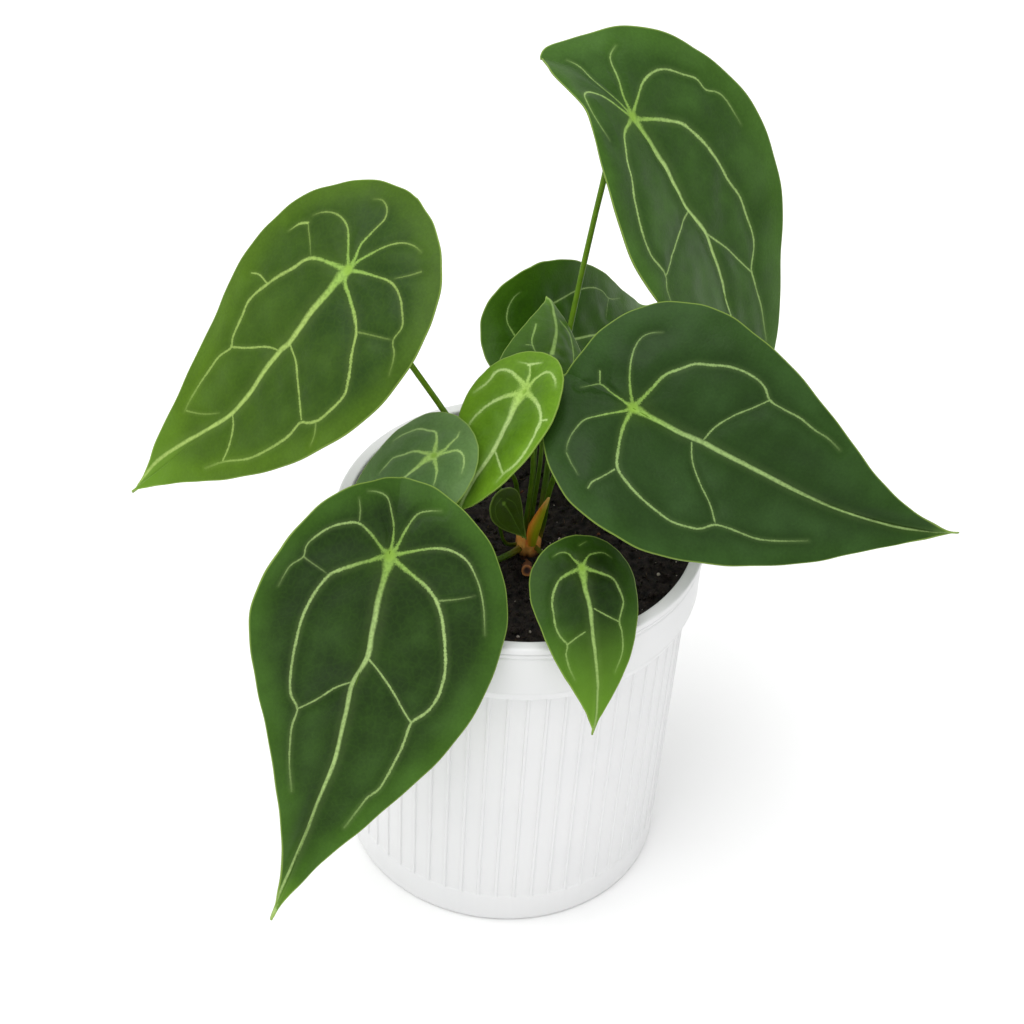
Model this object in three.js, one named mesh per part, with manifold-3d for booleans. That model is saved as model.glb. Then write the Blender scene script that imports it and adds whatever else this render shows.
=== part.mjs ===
// A potted anthurium: a white ribbed plastic pot, its peat, a short stem and ten shield-shaped leaves.
// Millimetres, +Z up. The origin is the centre of the pot's underside, and -Y is the pot's front.
import * as THREE from 'three';
import { mergeVertices } from 'three/addons/utils/BufferGeometryUtils.js';
import Module from 'manifold-3d';

const wasm = await Module();
wasm.setup();

// Clearance between pieces that touch
const GAP = 0.3;

// Pot: outside
const POT_HEIGHT = 136;
const RIM_RADIUS = 60;
const MOUTH_RADIUS = 56;
const NECK_BOTTOM = 106.5;
const NECK_TOP = 112.3;
const COLLAR_BOTTOM = 111.3;
const COLLAR_CREASE = 115;
const COLLAR_RADIUS = 59.2;
const COLLAR_STEP = 1.7;
const LIP_BOTTOM = 133.6;
const LIP_ROUNDING = 0.7;
const FOOT_RADIUS = 52.8;
const BODY_TOP_RADIUS = 55.9;
const FOOT_BAND_TOP = 12.3;
const FOOT_ROUNDING = 2;
const BAND_SLOPE = 0.8;
const COLLAR_DRAFT = 0.4;

// Pot: ribs, wall, floor and drain holes
const RIB_COUNT = 56;
const RIB_WIDTH = 0.9;
const RIB_HEIGHT = 0.5;
const RIB_TOP = 109.5;
const RIB_OVERLAP = 0.6;
const RIB_ROOT = 0.25;
const WALL = 1.8;
const FLOOR = 2.5;
const DRAIN_COUNT = 6;
const DRAIN_RADIUS = 4;
const DRAIN_CIRCLE = 36;

// Soil
const SOIL_EDGE_HEIGHT = 121.5;
const SOIL_MIDDLE_HEIGHT = 123;
const LUMP_HEIGHT = 0.9;
const SOIL_RINGS = [51, 45, 38, 31, 24, 17, 10, 0];
const SOIL_SEGMENTS = 48;

// Stem base, an oval stub that stands in the soil
const STEM_CENTRE = new THREE.Vector3(3, 2.5, 0);
const STEM_HALF_WIDTH = 4.2;
const STEM_HALF_DEPTH = 6.2;
const STEM_BOTTOM = 102;
const STEM_TOP = 130.5;
const STEM_ROUNDING = 1.6;

// Leaf blades
const BLADE_THICKNESS = 0.7;
const NORMAL_STEP = 0.5;

// A blade's midrib stands out below it, tapers to near the tip, and is sunk a little into the blade.
// Its radii are shares of the stalk's.
const MIDRIB_SHARES = [0.95, 0.37];
const MIDRIB_REACH = 0.88;
const MIDRIB_SUNK = 0.1;
const MIDRIB_POINTS = 6;

// A stalk's radius along it, as shares of its own size
const STALK_FLARE = [1.2, 1, 1, 1, 1.25];
const STALK_STEPS = 14;
const STALK_SIDES = 7;

// Its end under the blade, which the last stretch meets squarely, over so many times its radius
const STALK_END_DEPTH = 0.05;
const STALK_SQUARE_LENGTH = 7;

const COLOURS = {
  potWhite: 0xf1f1f0, peat: 0x1b1715, stemTan: 0xb9803a, sheath: 0xa98a20, cutStalk: 0x9c5a2a,
  darkLeaf: 0x2f4d23, leftLeaf: 0x3f6425, backLeaf: 0x33540f, youngLeaf: 0x5c8a26, tinyLeaf: 0x2b4410,
};

// The leaves. A blade is set by its petiole point, the way its midrib heads there (degrees anticlockwise
// from +X), its slope and its roll about the midrib. front and back are the lengths from the petiole point
// to the tip and to the round end, left and right the widest half-widths. round and taper are the outline's
// exponents at the two ends. droop, hang, sweep and twist are whole turns in degrees along the midrib:
// droop and hang bend the front and the back down, sweep bends it to the left. fold lifts both halves
// and curl bends each half down towards its edge. drift and lift move the tip to the left and up.
const LEAVES = [
  {
    name: 'leaf_left', colour: COLOURS.leftLeaf, at: [-56.5, -4, 234.5], heading: 214, slope: -49, roll: -8,
    front: 106.5, back: 29.5, left: 38, right: 34, round: 0.6, taper: 1.37, skew: 0,
    droop: 18, hang: 27, sweep: -29, twist: -4.5, fold: 4, curlLeft: 11, curlRight: 10, drift: 2.5, lift: 5.5,
    wave: 0.7, waves: 5, phase: 0.4, stalk: 0.95, spokes: 32, rings: 5,
    route: [[0.6, 5.6, 127], [-1.8, 5.2, 133], [-27.4, 0, 180.8], [-43, -3, 210]],
  },
  {
    name: 'leaf_top', colour: COLOURS.leftLeaf, at: [26, 65, 248.5], heading: 342, slope: -50, roll: 0,
    front: 120.5, back: 34, left: 42, right: 41, round: 0.85, taper: 1.15, skew: 0,
    droop: 27, hang: 54, sweep: -2, twist: 1, fold: 11, curlLeft: -16, curlRight: 24, drift: -1, lift: 2,
    wave: 0.6, waves: 4, phase: 2.0, stalk: 0.95, spokes: 32, rings: 5,
    route: [[5.6, 5.6, 127], [6.6, 9, 134], [9.5, 35, 164.5], [13.5, 51.5, 190], [17, 60.5, 212], [19.4, 64, 228]],
  },
  {
    name: 'leaf_right', colour: COLOURS.darkLeaf, at: [32, -4, 188.5], heading: 342, slope: -19.5, roll: 34.5,
    front: 116, back: 21.5, left: 39, right: 41.5, round: 0.52, taper: 1.57, skew: 0.1,
    droop: 24, hang: 23, sweep: 10, twist: 11, fold: 19, curlLeft: 10, curlRight: 5, drift: 12, lift: -0.5,
    wave: 0.7, waves: 5, phase: 1.2, stalk: 0.95, spokes: 32, rings: 5,
    route: [[6.2, 1.6, 127], [7.2, 1.4, 134], [8.8, 1, 150], [15, 1, 170]],
  },
  {
    name: 'leaf_front', colour: COLOURS.darkLeaf, at: [-39, -52, 164.5], heading: 250.5, slope: -63, roll: -33,
    front: 124.5, back: 24, left: 40, right: 39.5, round: 0.66, taper: 1.65, skew: -0.1,
    droop: 1, hang: 29, sweep: -11.5, twist: 0, fold: 16.5, curlLeft: 7.5, curlRight: 12.5, drift: 0, lift: 1,
    wave: 0.7, waves: 5, phase: 0, stalk: 0.95, spokes: 32, rings: 5,
    route: [[0.6, -1.4, 124.6], [-2.2, -5.2, 125.4], [-8, -12, 127.5], [-18, -23, 134], [-28, -36, 147]],
  },
  {
    name: 'leaf_front_small', colour: COLOURS.leftLeaf, at: [19.5, -41, 154.5],
    heading: 288.5, slope: -34.5, roll: -10,
    front: 51, back: 10.5, left: 18, right: 18, round: 0.52, taper: 1.27, skew: 0,
    droop: 18, hang: 15.5, sweep: 1, twist: 0, fold: 0.5, curlLeft: 15, curlRight: 22.5, drift: -4.5, lift: -1,
    wave: 0.35, waves: 4, phase: 1, stalk: 0.75, spokes: 24, rings: 4,
    route: [[5, -1.2, 125.4], [7, -5, 126.6], [12, -17, 134], [17, -31, 146]],
  },
  {
    name: 'leaf_young', colour: COLOURS.youngLeaf, at: [-1.5, -4, 192], heading: 237.5, slope: -34.5, roll: 14,
    front: 41.5, back: 14, left: 16.5, right: 16.5, round: 0.51, taper: 0.77, skew: 0,
    droop: 11, hang: 12, sweep: -1, twist: -3, fold: 13, curlLeft: 13, curlRight: 7.5, drift: -1, lift: 0.5,
    wave: 0.3, waves: 4, phase: 0.5, stalk: 0.75, spokes: 24, rings: 4,
    route: [[1.4, -0.6, 127.5], [1.6, -0.8, 134], [2.6, -1.8, 160], [1.4, -3, 176]],
  },
  {
    name: 'leaf_centre_small', colour: COLOURS.darkLeaf, at: [-28, -20, 177.5],
    heading: 206, slope: -31, roll: -1,
    front: 51, back: 14, left: 19, right: 19, round: 0.52, taper: 1.14, skew: -0.1,
    droop: 31, hang: 18, sweep: 0, twist: 1, fold: 0.5, curlLeft: 24.5, curlRight: 8, drift: 0.5, lift: -0.5,
    wave: 0.4, waves: 4, phase: 2.4, stalk: 0.75, spokes: 24, rings: 4,
    route: [[0.2, 2.2, 127.5], [-0.4, 2, 134], [-3, 1, 152], [-7.5, -5, 161], [-15.5, -13.5, 167]],
  },
  {
    name: 'leaf_back', colour: COLOURS.backLeaf, at: [0, 54, 165.5], heading: 31, slope: -19, roll: 33,
    front: 73.5, back: 18.5, left: 26.5, right: 27, round: 0.53, taper: 1.13, skew: 0,
    droop: 26, hang: 27, sweep: 34, twist: -3.5, fold: 7, curlLeft: -27, curlRight: 12.5, drift: 0, lift: -1,
    wave: 0.5, waves: 4, phase: 0.9, stalk: 0.85, spokes: 28, rings: 5,
    route: [[3, 6.6, 127], [3, 8.5, 134], [3, 22, 147], [2, 40, 156]],
  },
  {
    name: 'leaf_upturned', colour: COLOURS.backLeaf, at: [4.5, 10.5, 183.5], heading: 81, slope: 8.5, roll: 16,
    front: 45, back: 11.5, left: 16.5, right: 16.5, round: 0.5, taper: 1.18, skew: 0,
    droop: 21, hang: 15, sweep: 1, twist: -1, fold: -14, curlLeft: 16.5, curlRight: 19.5, drift: 5.5, lift: -0.5,
    wave: 0.3, waves: 4, phase: 0, stalk: 0.7, spokes: 24, rings: 4,
    route: [[3.3, 3.4, 127.5], [3.5, 3.8, 134], [5, 7, 160]],
  },
  {
    name: 'leaf_tiny', colour: COLOURS.tinyLeaf, at: [-6, -10, 151], heading: 17, slope: -65, roll: 60,
    front: 17, back: 4.7, left: 6.3, right: 6.3, round: 0.5, taper: 1.17, skew: 0,
    droop: 18, hang: 16, sweep: 0.5, twist: 0, fold: 7, curlLeft: 14, curlRight: 13, drift: 0, lift: 4,
    wave: 0.15, waves: 3, phase: 0, stalk: 0.6, spokes: 16, rings: 3,
    route: [[0.2, 1.6, 123.6], [-2.6, -0.6, 124.8], [-5, -4, 129.5], [-7.4, -5.4, 141]],
  },
];

// The cataphyll's and the cut stalk's centre lines, with their radii along them
const SHEATH_ROUTE = [[4, -1.9, 127], [4.2, -2.1, 133], [6, -1.9, 140], [8.4, -1.6, 147]];
const SHEATH_RADII = [1.3, 1.55, 1.1, 0.35];
const CUT_ROUTE = [[3, -1, 119], [3, -7, 121.5], [3, -13.5, 125.8]];
const CUT_RADII = [1.6, 1.6, 1.7];
const PITH_RADIUS = 0.7;
const PITH_DEPTH = 1.5;

const radians = THREE.MathUtils.degToRad;
const clamp = THREE.MathUtils.clamp;
const vector = (point) => new THREE.Vector3(...point);

// A closed geometry as a solid, with its doubled corners joined and its collapsed triangles dropped.
function solid(geometry) {
  const bare = new THREE.BufferGeometry();
  bare.setAttribute('position', geometry.getAttribute('position'));
  bare.setIndex(geometry.index);
  const merged = mergeVertices(bare, 1e-4);
  const index = merged.index.array;
  const triangles = [];
  for (let i = 0; i < index.length; i += 3) {
    const [a, b, c] = index.slice(i, i + 3);
    if (a !== b && b !== c && c !== a) triangles.push(a, b, c);
  }
  const vertProperties = new Float32Array(merged.getAttribute('position').array);
  const triVerts = new Uint32Array(triangles);
  return new wasm.Manifold(new wasm.Mesh({ numProp: 3, vertProperties, triVerts }));
}

function geometryOf(body) {
  const mesh = body.getMesh();
  const geometry = new THREE.BufferGeometry();
  geometry.setAttribute('position', new THREE.BufferAttribute(new Float32Array(mesh.vertProperties), 3));
  geometry.setIndex(new THREE.BufferAttribute(new Uint32Array(mesh.triVerts), 1));
  geometry.computeVertexNormals();
  return geometry;
}

const plant = new THREE.Group();

function addPiece(name, body, colour, roughness) {
  const material = new THREE.MeshStandardMaterial({ color: colour, roughness, metalness: 0 });
  const mesh = new THREE.Mesh(geometryOf(body), material);
  mesh.name = name;
  plant.add(mesh);
}

// A turned body about Z, from a profile of [radius, height] pairs that starts and ends on the axis.
function turned(profile, segments) {
  const points = profile.map(([radius, height]) => new THREE.Vector2(radius, height));
  return new THREE.LatheGeometry(points, segments).rotateX(Math.PI / 2);
}

// A round stalk of changing radius along a curve, closed at both ends.
function stalk(route, radii, sides, steps) {
  const curve = new THREE.CatmullRomCurve3(route, false, 'centripetal');
  const frames = curve.computeFrenetFrames(steps, false);
  const positions = [];
  for (let i = 0; i <= steps; i++) {
    const along = i / steps;
    const place = along * (radii.length - 1);
    const low = Math.min(Math.floor(place), radii.length - 2);
    const radius = THREE.MathUtils.lerp(radii[low], radii[low + 1], place - low);
    const centre = curve.getPointAt(along);
    for (let j = 0; j < sides; j++) {
      const angle = (2 * Math.PI * j) / sides;
      const corner = centre.clone();
      corner.addScaledVector(frames.normals[i], radius * Math.cos(angle));
      corner.addScaledVector(frames.binormals[i], radius * Math.sin(angle));
      positions.push(...corner);
    }
  }
  const first = positions.length / 3;
  positions.push(...curve.getPointAt(0), ...curve.getPointAt(1));
  const index = [];
  for (let j = 0; j < sides; j++) {
    const next = (j + 1) % sides;
    for (let i = 0; i < steps; i++) {
      const a = i * sides + j;
      const b = i * sides + next;
      index.push(a, b, b + sides, a, b + sides, a + sides);
    }
    index.push(first, next, j);
    index.push(first + 1, steps * sides + j, steps * sides + next);
  }
  const geometry = new THREE.BufferGeometry();
  geometry.setAttribute('position', new THREE.Float32BufferAttribute(positions, 3));
  geometry.setIndex(index);
  return geometry;
}

// Pot. Its wall is a turned shell of flat facets, with a thin upright rib on each corner between them.
function bodyRadius(height) {
  return FOOT_RADIUS + ((BODY_TOP_RADIUS - FOOT_RADIUS) * height) / COLLAR_BOTTOM;
}

function potBody() {
  const panel = (height) => bodyRadius(height) - RIB_HEIGHT;
  const inner = (height) => panel(height) - WALL;
  const rounding = [0, 45, 90].map((turn) => [
    FOOT_RADIUS - FOOT_ROUNDING + FOOT_ROUNDING * Math.sin(radians(turn)),
    FOOT_ROUNDING - FOOT_ROUNDING * Math.cos(radians(turn)),
  ]);
  const outside = [
    [0, 0], ...rounding,
    [bodyRadius(FOOT_BAND_TOP), FOOT_BAND_TOP], [panel(FOOT_BAND_TOP), FOOT_BAND_TOP + BAND_SLOPE],
    [panel(RIB_TOP), RIB_TOP], [BODY_TOP_RADIUS, COLLAR_BOTTOM],
    [BODY_TOP_RADIUS + COLLAR_STEP, COLLAR_BOTTOM], [COLLAR_RADIUS - COLLAR_DRAFT, COLLAR_CREASE],
    [COLLAR_RADIUS, LIP_BOTTOM - COLLAR_DRAFT], [RIM_RADIUS, LIP_BOTTOM],
    [RIM_RADIUS, POT_HEIGHT - LIP_ROUNDING], [RIM_RADIUS - LIP_ROUNDING, POT_HEIGHT],
  ];
  const inside = [
    [MOUTH_RADIUS + LIP_ROUNDING, POT_HEIGHT], [MOUTH_RADIUS, POT_HEIGHT - LIP_ROUNDING],
    [MOUTH_RADIUS, NECK_TOP], [inner(NECK_BOTTOM), NECK_BOTTOM],
    [inner(FLOOR), FLOOR], [0, FLOOR],
  ];
  let body = solid(turned([...outside, ...inside], RIB_COUNT));
  const [low, high] = [FOOT_BAND_TOP - RIB_OVERLAP, RIB_TOP + RIB_OVERLAP];
  const outline = new THREE.Shape([
    new THREE.Vector2(panel(low) - RIB_ROOT, low), new THREE.Vector2(bodyRadius(low), low),
    new THREE.Vector2(bodyRadius(high), high), new THREE.Vector2(panel(high) - RIB_ROOT, high),
  ]);
  for (let i = 0; i < RIB_COUNT; i++) {
    const rib = new THREE.ExtrudeGeometry(outline, { depth: RIB_WIDTH, bevelEnabled: false });
    rib.translate(0, 0, -RIB_WIDTH / 2).rotateX(Math.PI / 2).rotateZ((2 * Math.PI * i) / RIB_COUNT);
    body = body.add(solid(rib));
  }
  for (let i = 0; i < DRAIN_COUNT; i++) {
    const angle = (2 * Math.PI * (i + 0.5)) / DRAIN_COUNT;
    const drill = new THREE.CylinderGeometry(DRAIN_RADIUS, DRAIN_RADIUS, 3 * FLOOR, 10).rotateX(Math.PI / 2);
    drill.translate(DRAIN_CIRCLE * Math.cos(angle), DRAIN_CIRCLE * Math.sin(angle), FLOOR / 2);
    body = body.subtract(solid(drill));
  }
  return body;
}

// Blades. The midrib turns at a steady rate about the axes of its own frame (midrib, left, up), so its
// course from the petiole point is a stretch of helix, and the halves hang off it in arcs.
function turnRates(leaf, along) {
  if (along > 0) {
    const turn = new THREE.Vector3(radians(leaf.twist), radians(leaf.droop), radians(leaf.sweep));
    return turn.divideScalar(leaf.front);
  }
  return new THREE.Vector3(0, radians(leaf.hang) / leaf.back, 0);
}

function bladePlacing(leaf) {
  const heading = radians(leaf.heading);
  const slope = radians(leaf.slope);
  const midrib = new THREE.Vector3(Math.cos(heading), Math.sin(heading), 0).multiplyScalar(Math.cos(slope));
  midrib.z = Math.sin(slope);
  const left = new THREE.Vector3(-Math.sin(heading), Math.cos(heading), 0);
  left.applyAxisAngle(midrib, radians(leaf.roll));
  const up = new THREE.Vector3().crossVectors(midrib, left);
  return new THREE.Matrix4().makeBasis(midrib, left, up).setPosition(vector(leaf.at));
}

function bladePoint(leaf, along, across, height = 0) {
  const turn = turnRates(leaf, along);
  const rate = turn.length();
  const axis = turn.clone().divideScalar(rate);
  const angle = rate * along;
  const forward = new THREE.Vector3(1, 0, 0);
  const steady = axis.clone().multiplyScalar(axis.x);
  const point = steady.clone().multiplyScalar(along);
  point.addScaledVector(forward.clone().sub(steady), Math.sin(angle) / rate);
  point.addScaledVector(axis.clone().cross(forward), (1 - Math.cos(angle)) / rate);
  const fold = radians(leaf.fold);
  const curl = radians(across > 0 ? leaf.curlLeft : leaf.curlRight) / ((leaf.left + leaf.right) / 2);
  const reach = Math.abs(across);
  const tip = clamp(along / leaf.front, 0, 1) ** 3;
  const sideways = (Math.sin(fold) - Math.sin(fold - curl * reach)) / curl;
  const rise = (Math.cos(fold - curl * reach) - Math.cos(fold)) / curl;
  const left = new THREE.Vector3(0, 1, 0).applyAxisAngle(axis, angle);
  const up = new THREE.Vector3(0, 0, 1).applyAxisAngle(axis, angle);
  point.addScaledVector(left, Math.sign(across) * sideways + leaf.drift * tip);
  point.addScaledVector(up, rise + leaf.lift * tip + height);
  return point.applyMatrix4(leaf.placing);
}

// The blade's edge: its distance along the midrib and to the left, for a turn round the outline that
// starts at the round end and goes by the left half to the tip.
function bladeEdge(leaf, turn) {
  const side = turn < Math.PI ? 1 : -1;
  const along = (1 - Math.cos(turn)) / 2;
  const rise = leaf.round;
  const fall = leaf.taper + side * leaf.skew;
  const widest = rise / (rise + fall);
  const width = side > 0 ? leaf.left : leaf.right;
  const across = side * width * (along / widest) ** rise * ((1 - along) / (1 - widest)) ** fall;
  return [along * (leaf.front + leaf.back) - leaf.back, across];
}

function bladeGeometry(leaf) {
  const { spokes, rings } = leaf;
  const faces = [[], []];
  const addPair = (along, across, wave) => {
    const [ahead, behind] = [1, -1].map((way) => bladePoint(leaf, along + way * NORMAL_STEP, across));
    const [left, right] = [1, -1].map((way) => bladePoint(leaf, along, across + way * NORMAL_STEP));
    const normal = ahead.sub(behind).cross(left.sub(right)).normalize();
    const middle = bladePoint(leaf, along, across, wave);
    for (const [face, side] of [[0, 1], [1, -1]]) {
      const corner = middle.clone().addScaledVector(normal, (side * BLADE_THICKNESS) / 2);
      faces[face].push(...corner);
    }
  };
  addPair(0, 0, 0);
  for (let ring = 1; ring <= rings; ring++) {
    const share = ring / rings;
    for (let spoke = 0; spoke < spokes; spoke++) {
      const turn = (2 * Math.PI * spoke) / spokes;
      const [along, across] = bladeEdge(leaf, turn);
      const wave = leaf.wave * share ** 4 * Math.sin(leaf.waves * turn + leaf.phase);
      addPair(share * along, share * across, wave);
    }
  }
  const count = faces[0].length / 3;
  const index = [];
  const addFaces = (a, b, c) => index.push(a, c, b, count + a, count + b, count + c);
  for (let spoke = 0; spoke < spokes; spoke++) {
    const next = (spoke + 1) % spokes;
    addFaces(0, 1 + spoke, 1 + next);
    for (let ring = 1; ring < rings; ring++) {
      const a = 1 + (ring - 1) * spokes;
      const b = a + spokes;
      addFaces(a + spoke, b + spoke, b + next);
      addFaces(a + spoke, b + next, a + next);
    }
    const edge = 1 + (rings - 1) * spokes;
    index.push(edge + spoke, edge + next, count + edge + next);
    index.push(edge + spoke, count + edge + next, count + edge + spoke);
  }
  const geometry = new THREE.BufferGeometry();
  geometry.setAttribute('position', new THREE.Float32BufferAttribute([...faces[0], ...faces[1]], 3));
  geometry.setIndex(index);
  return geometry;
}

// A hole's course starts a clearance deeper than what stands in it.
function deepened(route, clearance) {
  const [foot, next] = route;
  const lower = foot.clone().sub(next).setLength(clearance).add(foot);
  return clearance > 0 ? [lower, ...route.slice(1)] : route;
}

// The stalk's course ends square to the blade, under its petiole point.
function leafStalk(leaf, clearance = 0) {
  const end = bladePoint(leaf, 0, 0, -STALK_END_DEPTH);
  const approach = bladePoint(leaf, 0, 0, -STALK_SQUARE_LENGTH * leaf.stalk);
  const route = [...leaf.route.map(vector), approach, end];
  const radii = STALK_FLARE.map((share) => share * leaf.stalk + clearance);
  return solid(stalk(deepened(route, clearance), radii, STALK_SIDES, STALK_STEPS));
}

function leafBody(leaf) {
  const radii = MIDRIB_SHARES.map((share) => share * leaf.stalk);
  const course = [];
  for (let i = 0; i <= MIDRIB_POINTS; i++) {
    const share = i / MIDRIB_POINTS;
    const depth = MIDRIB_SUNK - THREE.MathUtils.lerp(radii[0], radii[1], share);
    course.push(bladePoint(leaf, share * MIDRIB_REACH * leaf.front, 0, depth));
  }
  const midrib = solid(stalk(course, radii, 6, 10));
  return solid(bladeGeometry(leaf)).add(leafStalk(leaf)).add(midrib);
}

for (const leaf of LEAVES) leaf.placing = bladePlacing(leaf);

// Stem base, cataphyll and cut stalk
function stemBody(clearance) {
  const radius = STEM_HALF_WIDTH + clearance;
  const top = STEM_TOP + clearance;
  const profile = [
    [0, STEM_BOTTOM - clearance], [radius - STEM_ROUNDING, STEM_BOTTOM - clearance],
    [radius, STEM_BOTTOM + STEM_ROUNDING], [radius, top - STEM_ROUNDING],
    [radius - STEM_ROUNDING / 3, top - STEM_ROUNDING / 3], [radius - STEM_ROUNDING, top], [0, top],
  ];
  const oval = turned(profile, 24);
  oval.scale(1, (STEM_HALF_DEPTH + clearance) / radius, 1).translate(...STEM_CENTRE);
  return solid(oval);
}

function grown(route, radii, clearance, sides, steps) {
  const widened = radii.map((radius) => radius + clearance);
  return solid(stalk(deepened(route.map(vector), clearance), widened, sides, steps));
}

const sheath = (clearance) => grown(SHEATH_ROUTE, SHEATH_RADII, clearance, 8, 8);
const cutStalk = (clearance) => grown(CUT_ROUTE, CUT_RADII, clearance, 10, 5);

let stemBase = stemBody(0).subtract(sheath(GAP)).subtract(cutStalk(GAP));
for (const leaf of LEAVES) stemBase = stemBase.subtract(leafStalk(leaf, GAP));

const cutEnd = CUT_ROUTE.slice(-2).map(vector);
const cutWay = cutEnd[1].clone().sub(cutEnd[0]).normalize();
const pith = stalk(
  [cutEnd[1].clone().addScaledVector(cutWay, -PITH_DEPTH), cutEnd[1].clone().addScaledVector(cutWay, 1)],
  [PITH_RADIUS, PITH_RADIUS], 8, 2);

// Soil: the fill of the pot, with a lumpy top and plain holes for what stands in it
function soilBody() {
  const inner = (height) => bodyRadius(height) - RIB_HEIGHT - WALL - GAP;
  const profile = [
    [0, FLOOR], [inner(FLOOR), FLOOR], [inner(NECK_BOTTOM), NECK_BOTTOM],
    [MOUTH_RADIUS - GAP, NECK_TOP + GAP], [MOUTH_RADIUS - GAP, SOIL_EDGE_HEIGHT],
  ];
  for (const radius of SOIL_RINGS) profile.push([radius, SOIL_MIDDLE_HEIGHT]);
  const geometry = turned(profile, SOIL_SEGMENTS);
  const position = geometry.getAttribute('position');
  for (let i = 0; i < position.count; i++) {
    if (position.getZ(i) < SOIL_MIDDLE_HEIGHT - 0.01) continue;
    const [x, y] = [position.getX(i), position.getY(i)];
    const lumps = Math.sin(x / 3.1 + 1) * Math.cos(y / 3.7) + 0.6 * Math.sin(x / 1.7 - y / 2.3);
    const edge = (SOIL_MIDDLE_HEIGHT - SOIL_EDGE_HEIGHT) * (Math.hypot(x, y) / MOUTH_RADIUS) ** 2;
    position.setZ(i, SOIL_MIDDLE_HEIGHT - edge + LUMP_HEIGHT * lumps - LUMP_HEIGHT);
  }
  let body = solid(geometry).subtract(stemBody(GAP)).subtract(cutStalk(GAP));
  for (const leaf of LEAVES) body = body.subtract(leafStalk(leaf, GAP));
  return body;
}

addPiece('pot', potBody(), COLOURS.potWhite, 0.35);
addPiece('soil', soilBody(), COLOURS.peat, 0.95);
addPiece('stem_base', stemBase, COLOURS.stemTan, 0.7);
addPiece('cataphyll', sheath(0), COLOURS.sheath, 0.6);
addPiece('cut_stalk', cutStalk(0).subtract(solid(pith)), COLOURS.cutStalk, 0.8);
for (const leaf of LEAVES) addPiece(leaf.name, leafBody(leaf), leaf.colour, 0.4);

export default plant;
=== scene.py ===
import math
import random

import bmesh
import bpy
import numpy as np
from mathutils import Euler, Matrix, Vector, noise


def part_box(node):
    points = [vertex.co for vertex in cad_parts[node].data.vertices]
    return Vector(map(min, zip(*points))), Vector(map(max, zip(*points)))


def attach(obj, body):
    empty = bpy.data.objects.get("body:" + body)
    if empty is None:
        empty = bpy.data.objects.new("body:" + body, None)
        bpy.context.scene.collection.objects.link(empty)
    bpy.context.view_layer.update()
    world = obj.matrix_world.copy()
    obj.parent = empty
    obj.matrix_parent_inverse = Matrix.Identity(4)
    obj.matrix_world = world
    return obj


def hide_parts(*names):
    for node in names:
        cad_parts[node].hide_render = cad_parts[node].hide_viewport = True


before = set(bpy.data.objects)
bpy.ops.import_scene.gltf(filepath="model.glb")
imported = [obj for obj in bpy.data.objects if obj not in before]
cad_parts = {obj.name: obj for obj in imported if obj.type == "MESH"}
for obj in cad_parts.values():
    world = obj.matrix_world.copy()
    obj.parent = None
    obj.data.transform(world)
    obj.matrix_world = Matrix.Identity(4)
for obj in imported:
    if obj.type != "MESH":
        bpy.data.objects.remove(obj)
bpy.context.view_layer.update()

# Camera. A long lens that looks down on the plant at the photograph's angle, with a slight roll. The
# leaves' veins are set through this same view, from places in the photograph.
PHOTO_SIZE = 1024
FOCAL_PIXELS = 3000
SENSOR_WIDTH = 36
CAMERA_ELEVATION = math.radians(42)
CAMERA_ROLL = math.radians(3.8)
CAMERA_DISTANCE = 0.961
CAMERA_TARGET = np.array((-0.003, 0.0, 0.1385))

view_line = np.array((0, math.cos(CAMERA_ELEVATION), -math.sin(CAMERA_ELEVATION)))
level_right = np.array((1.0, 0.0, 0.0))
level_up = np.cross(level_right, view_line)
photo_right = math.cos(CAMERA_ROLL) * level_right + math.sin(CAMERA_ROLL) * level_up
photo_up = math.cos(CAMERA_ROLL) * level_up - math.sin(CAMERA_ROLL) * level_right
camera_place = CAMERA_TARGET - CAMERA_DISTANCE * view_line

camera_data = bpy.data.cameras.new("camera")
camera_data.sensor_width = SENSOR_WIDTH
camera_data.lens = FOCAL_PIXELS * SENSOR_WIDTH / PHOTO_SIZE
camera = bpy.data.objects.new("camera", camera_data)
camera_axes = np.column_stack((photo_right, photo_up, -view_line))
camera.matrix_world = Matrix.Translation(camera_place) @ Matrix(camera_axes.tolist()).to_4x4()
bpy.context.collection.objects.link(camera)
bpy.context.scene.camera = camera

# Floor and light. A white sweep under an even white sky, with one large soft lamp high on the left,
# whose shadow falls faintly to the right of the pot, and a weak lamp behind the plant.
FLOOR_SIZE = 8.0
FLOOR_WHITE = (0.93, 0.93, 0.93, 1)
SKY_WHITE = (1, 1, 1, 1)
SKY_STRENGTH = 0.83
KEY_PLACE = Vector((-0.7, -0.5, 2.3))
KEY_SIZE = 2.6
KEY_POWER = 50
RIM_PLACE = Vector((0.6, 1.6, 1.1))
RIM_SIZE = 1.0
RIM_POWER = 3


def fill(node, values):
    """Gives a shader node's inputs their values, or their links to other nodes' outputs."""
    for name, value in values.items():
        if isinstance(value, bpy.types.NodeSocket):
            node.id_data.links.new(value, node.inputs[name])
        else:
            node.inputs[name].default_value = value


def surface(name):
    """A new material and its node tree."""
    material = bpy.data.materials.new(name)
    material.use_nodes = True
    return material, material.node_tree


def finish(tree, values):
    """Gives a material's own shader its values and links."""
    fill(tree.nodes["Principled BSDF"], values)


def shaped(name, bm, material=None):
    """A mesh object made of a bmesh, which is used up."""
    mesh = bpy.data.meshes.new(name)
    bm.to_mesh(mesh)
    bm.free()
    if material:
        mesh.materials.append(material)
    made = bpy.data.objects.new(name, mesh)
    bpy.context.collection.objects.link(made)
    return made


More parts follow.
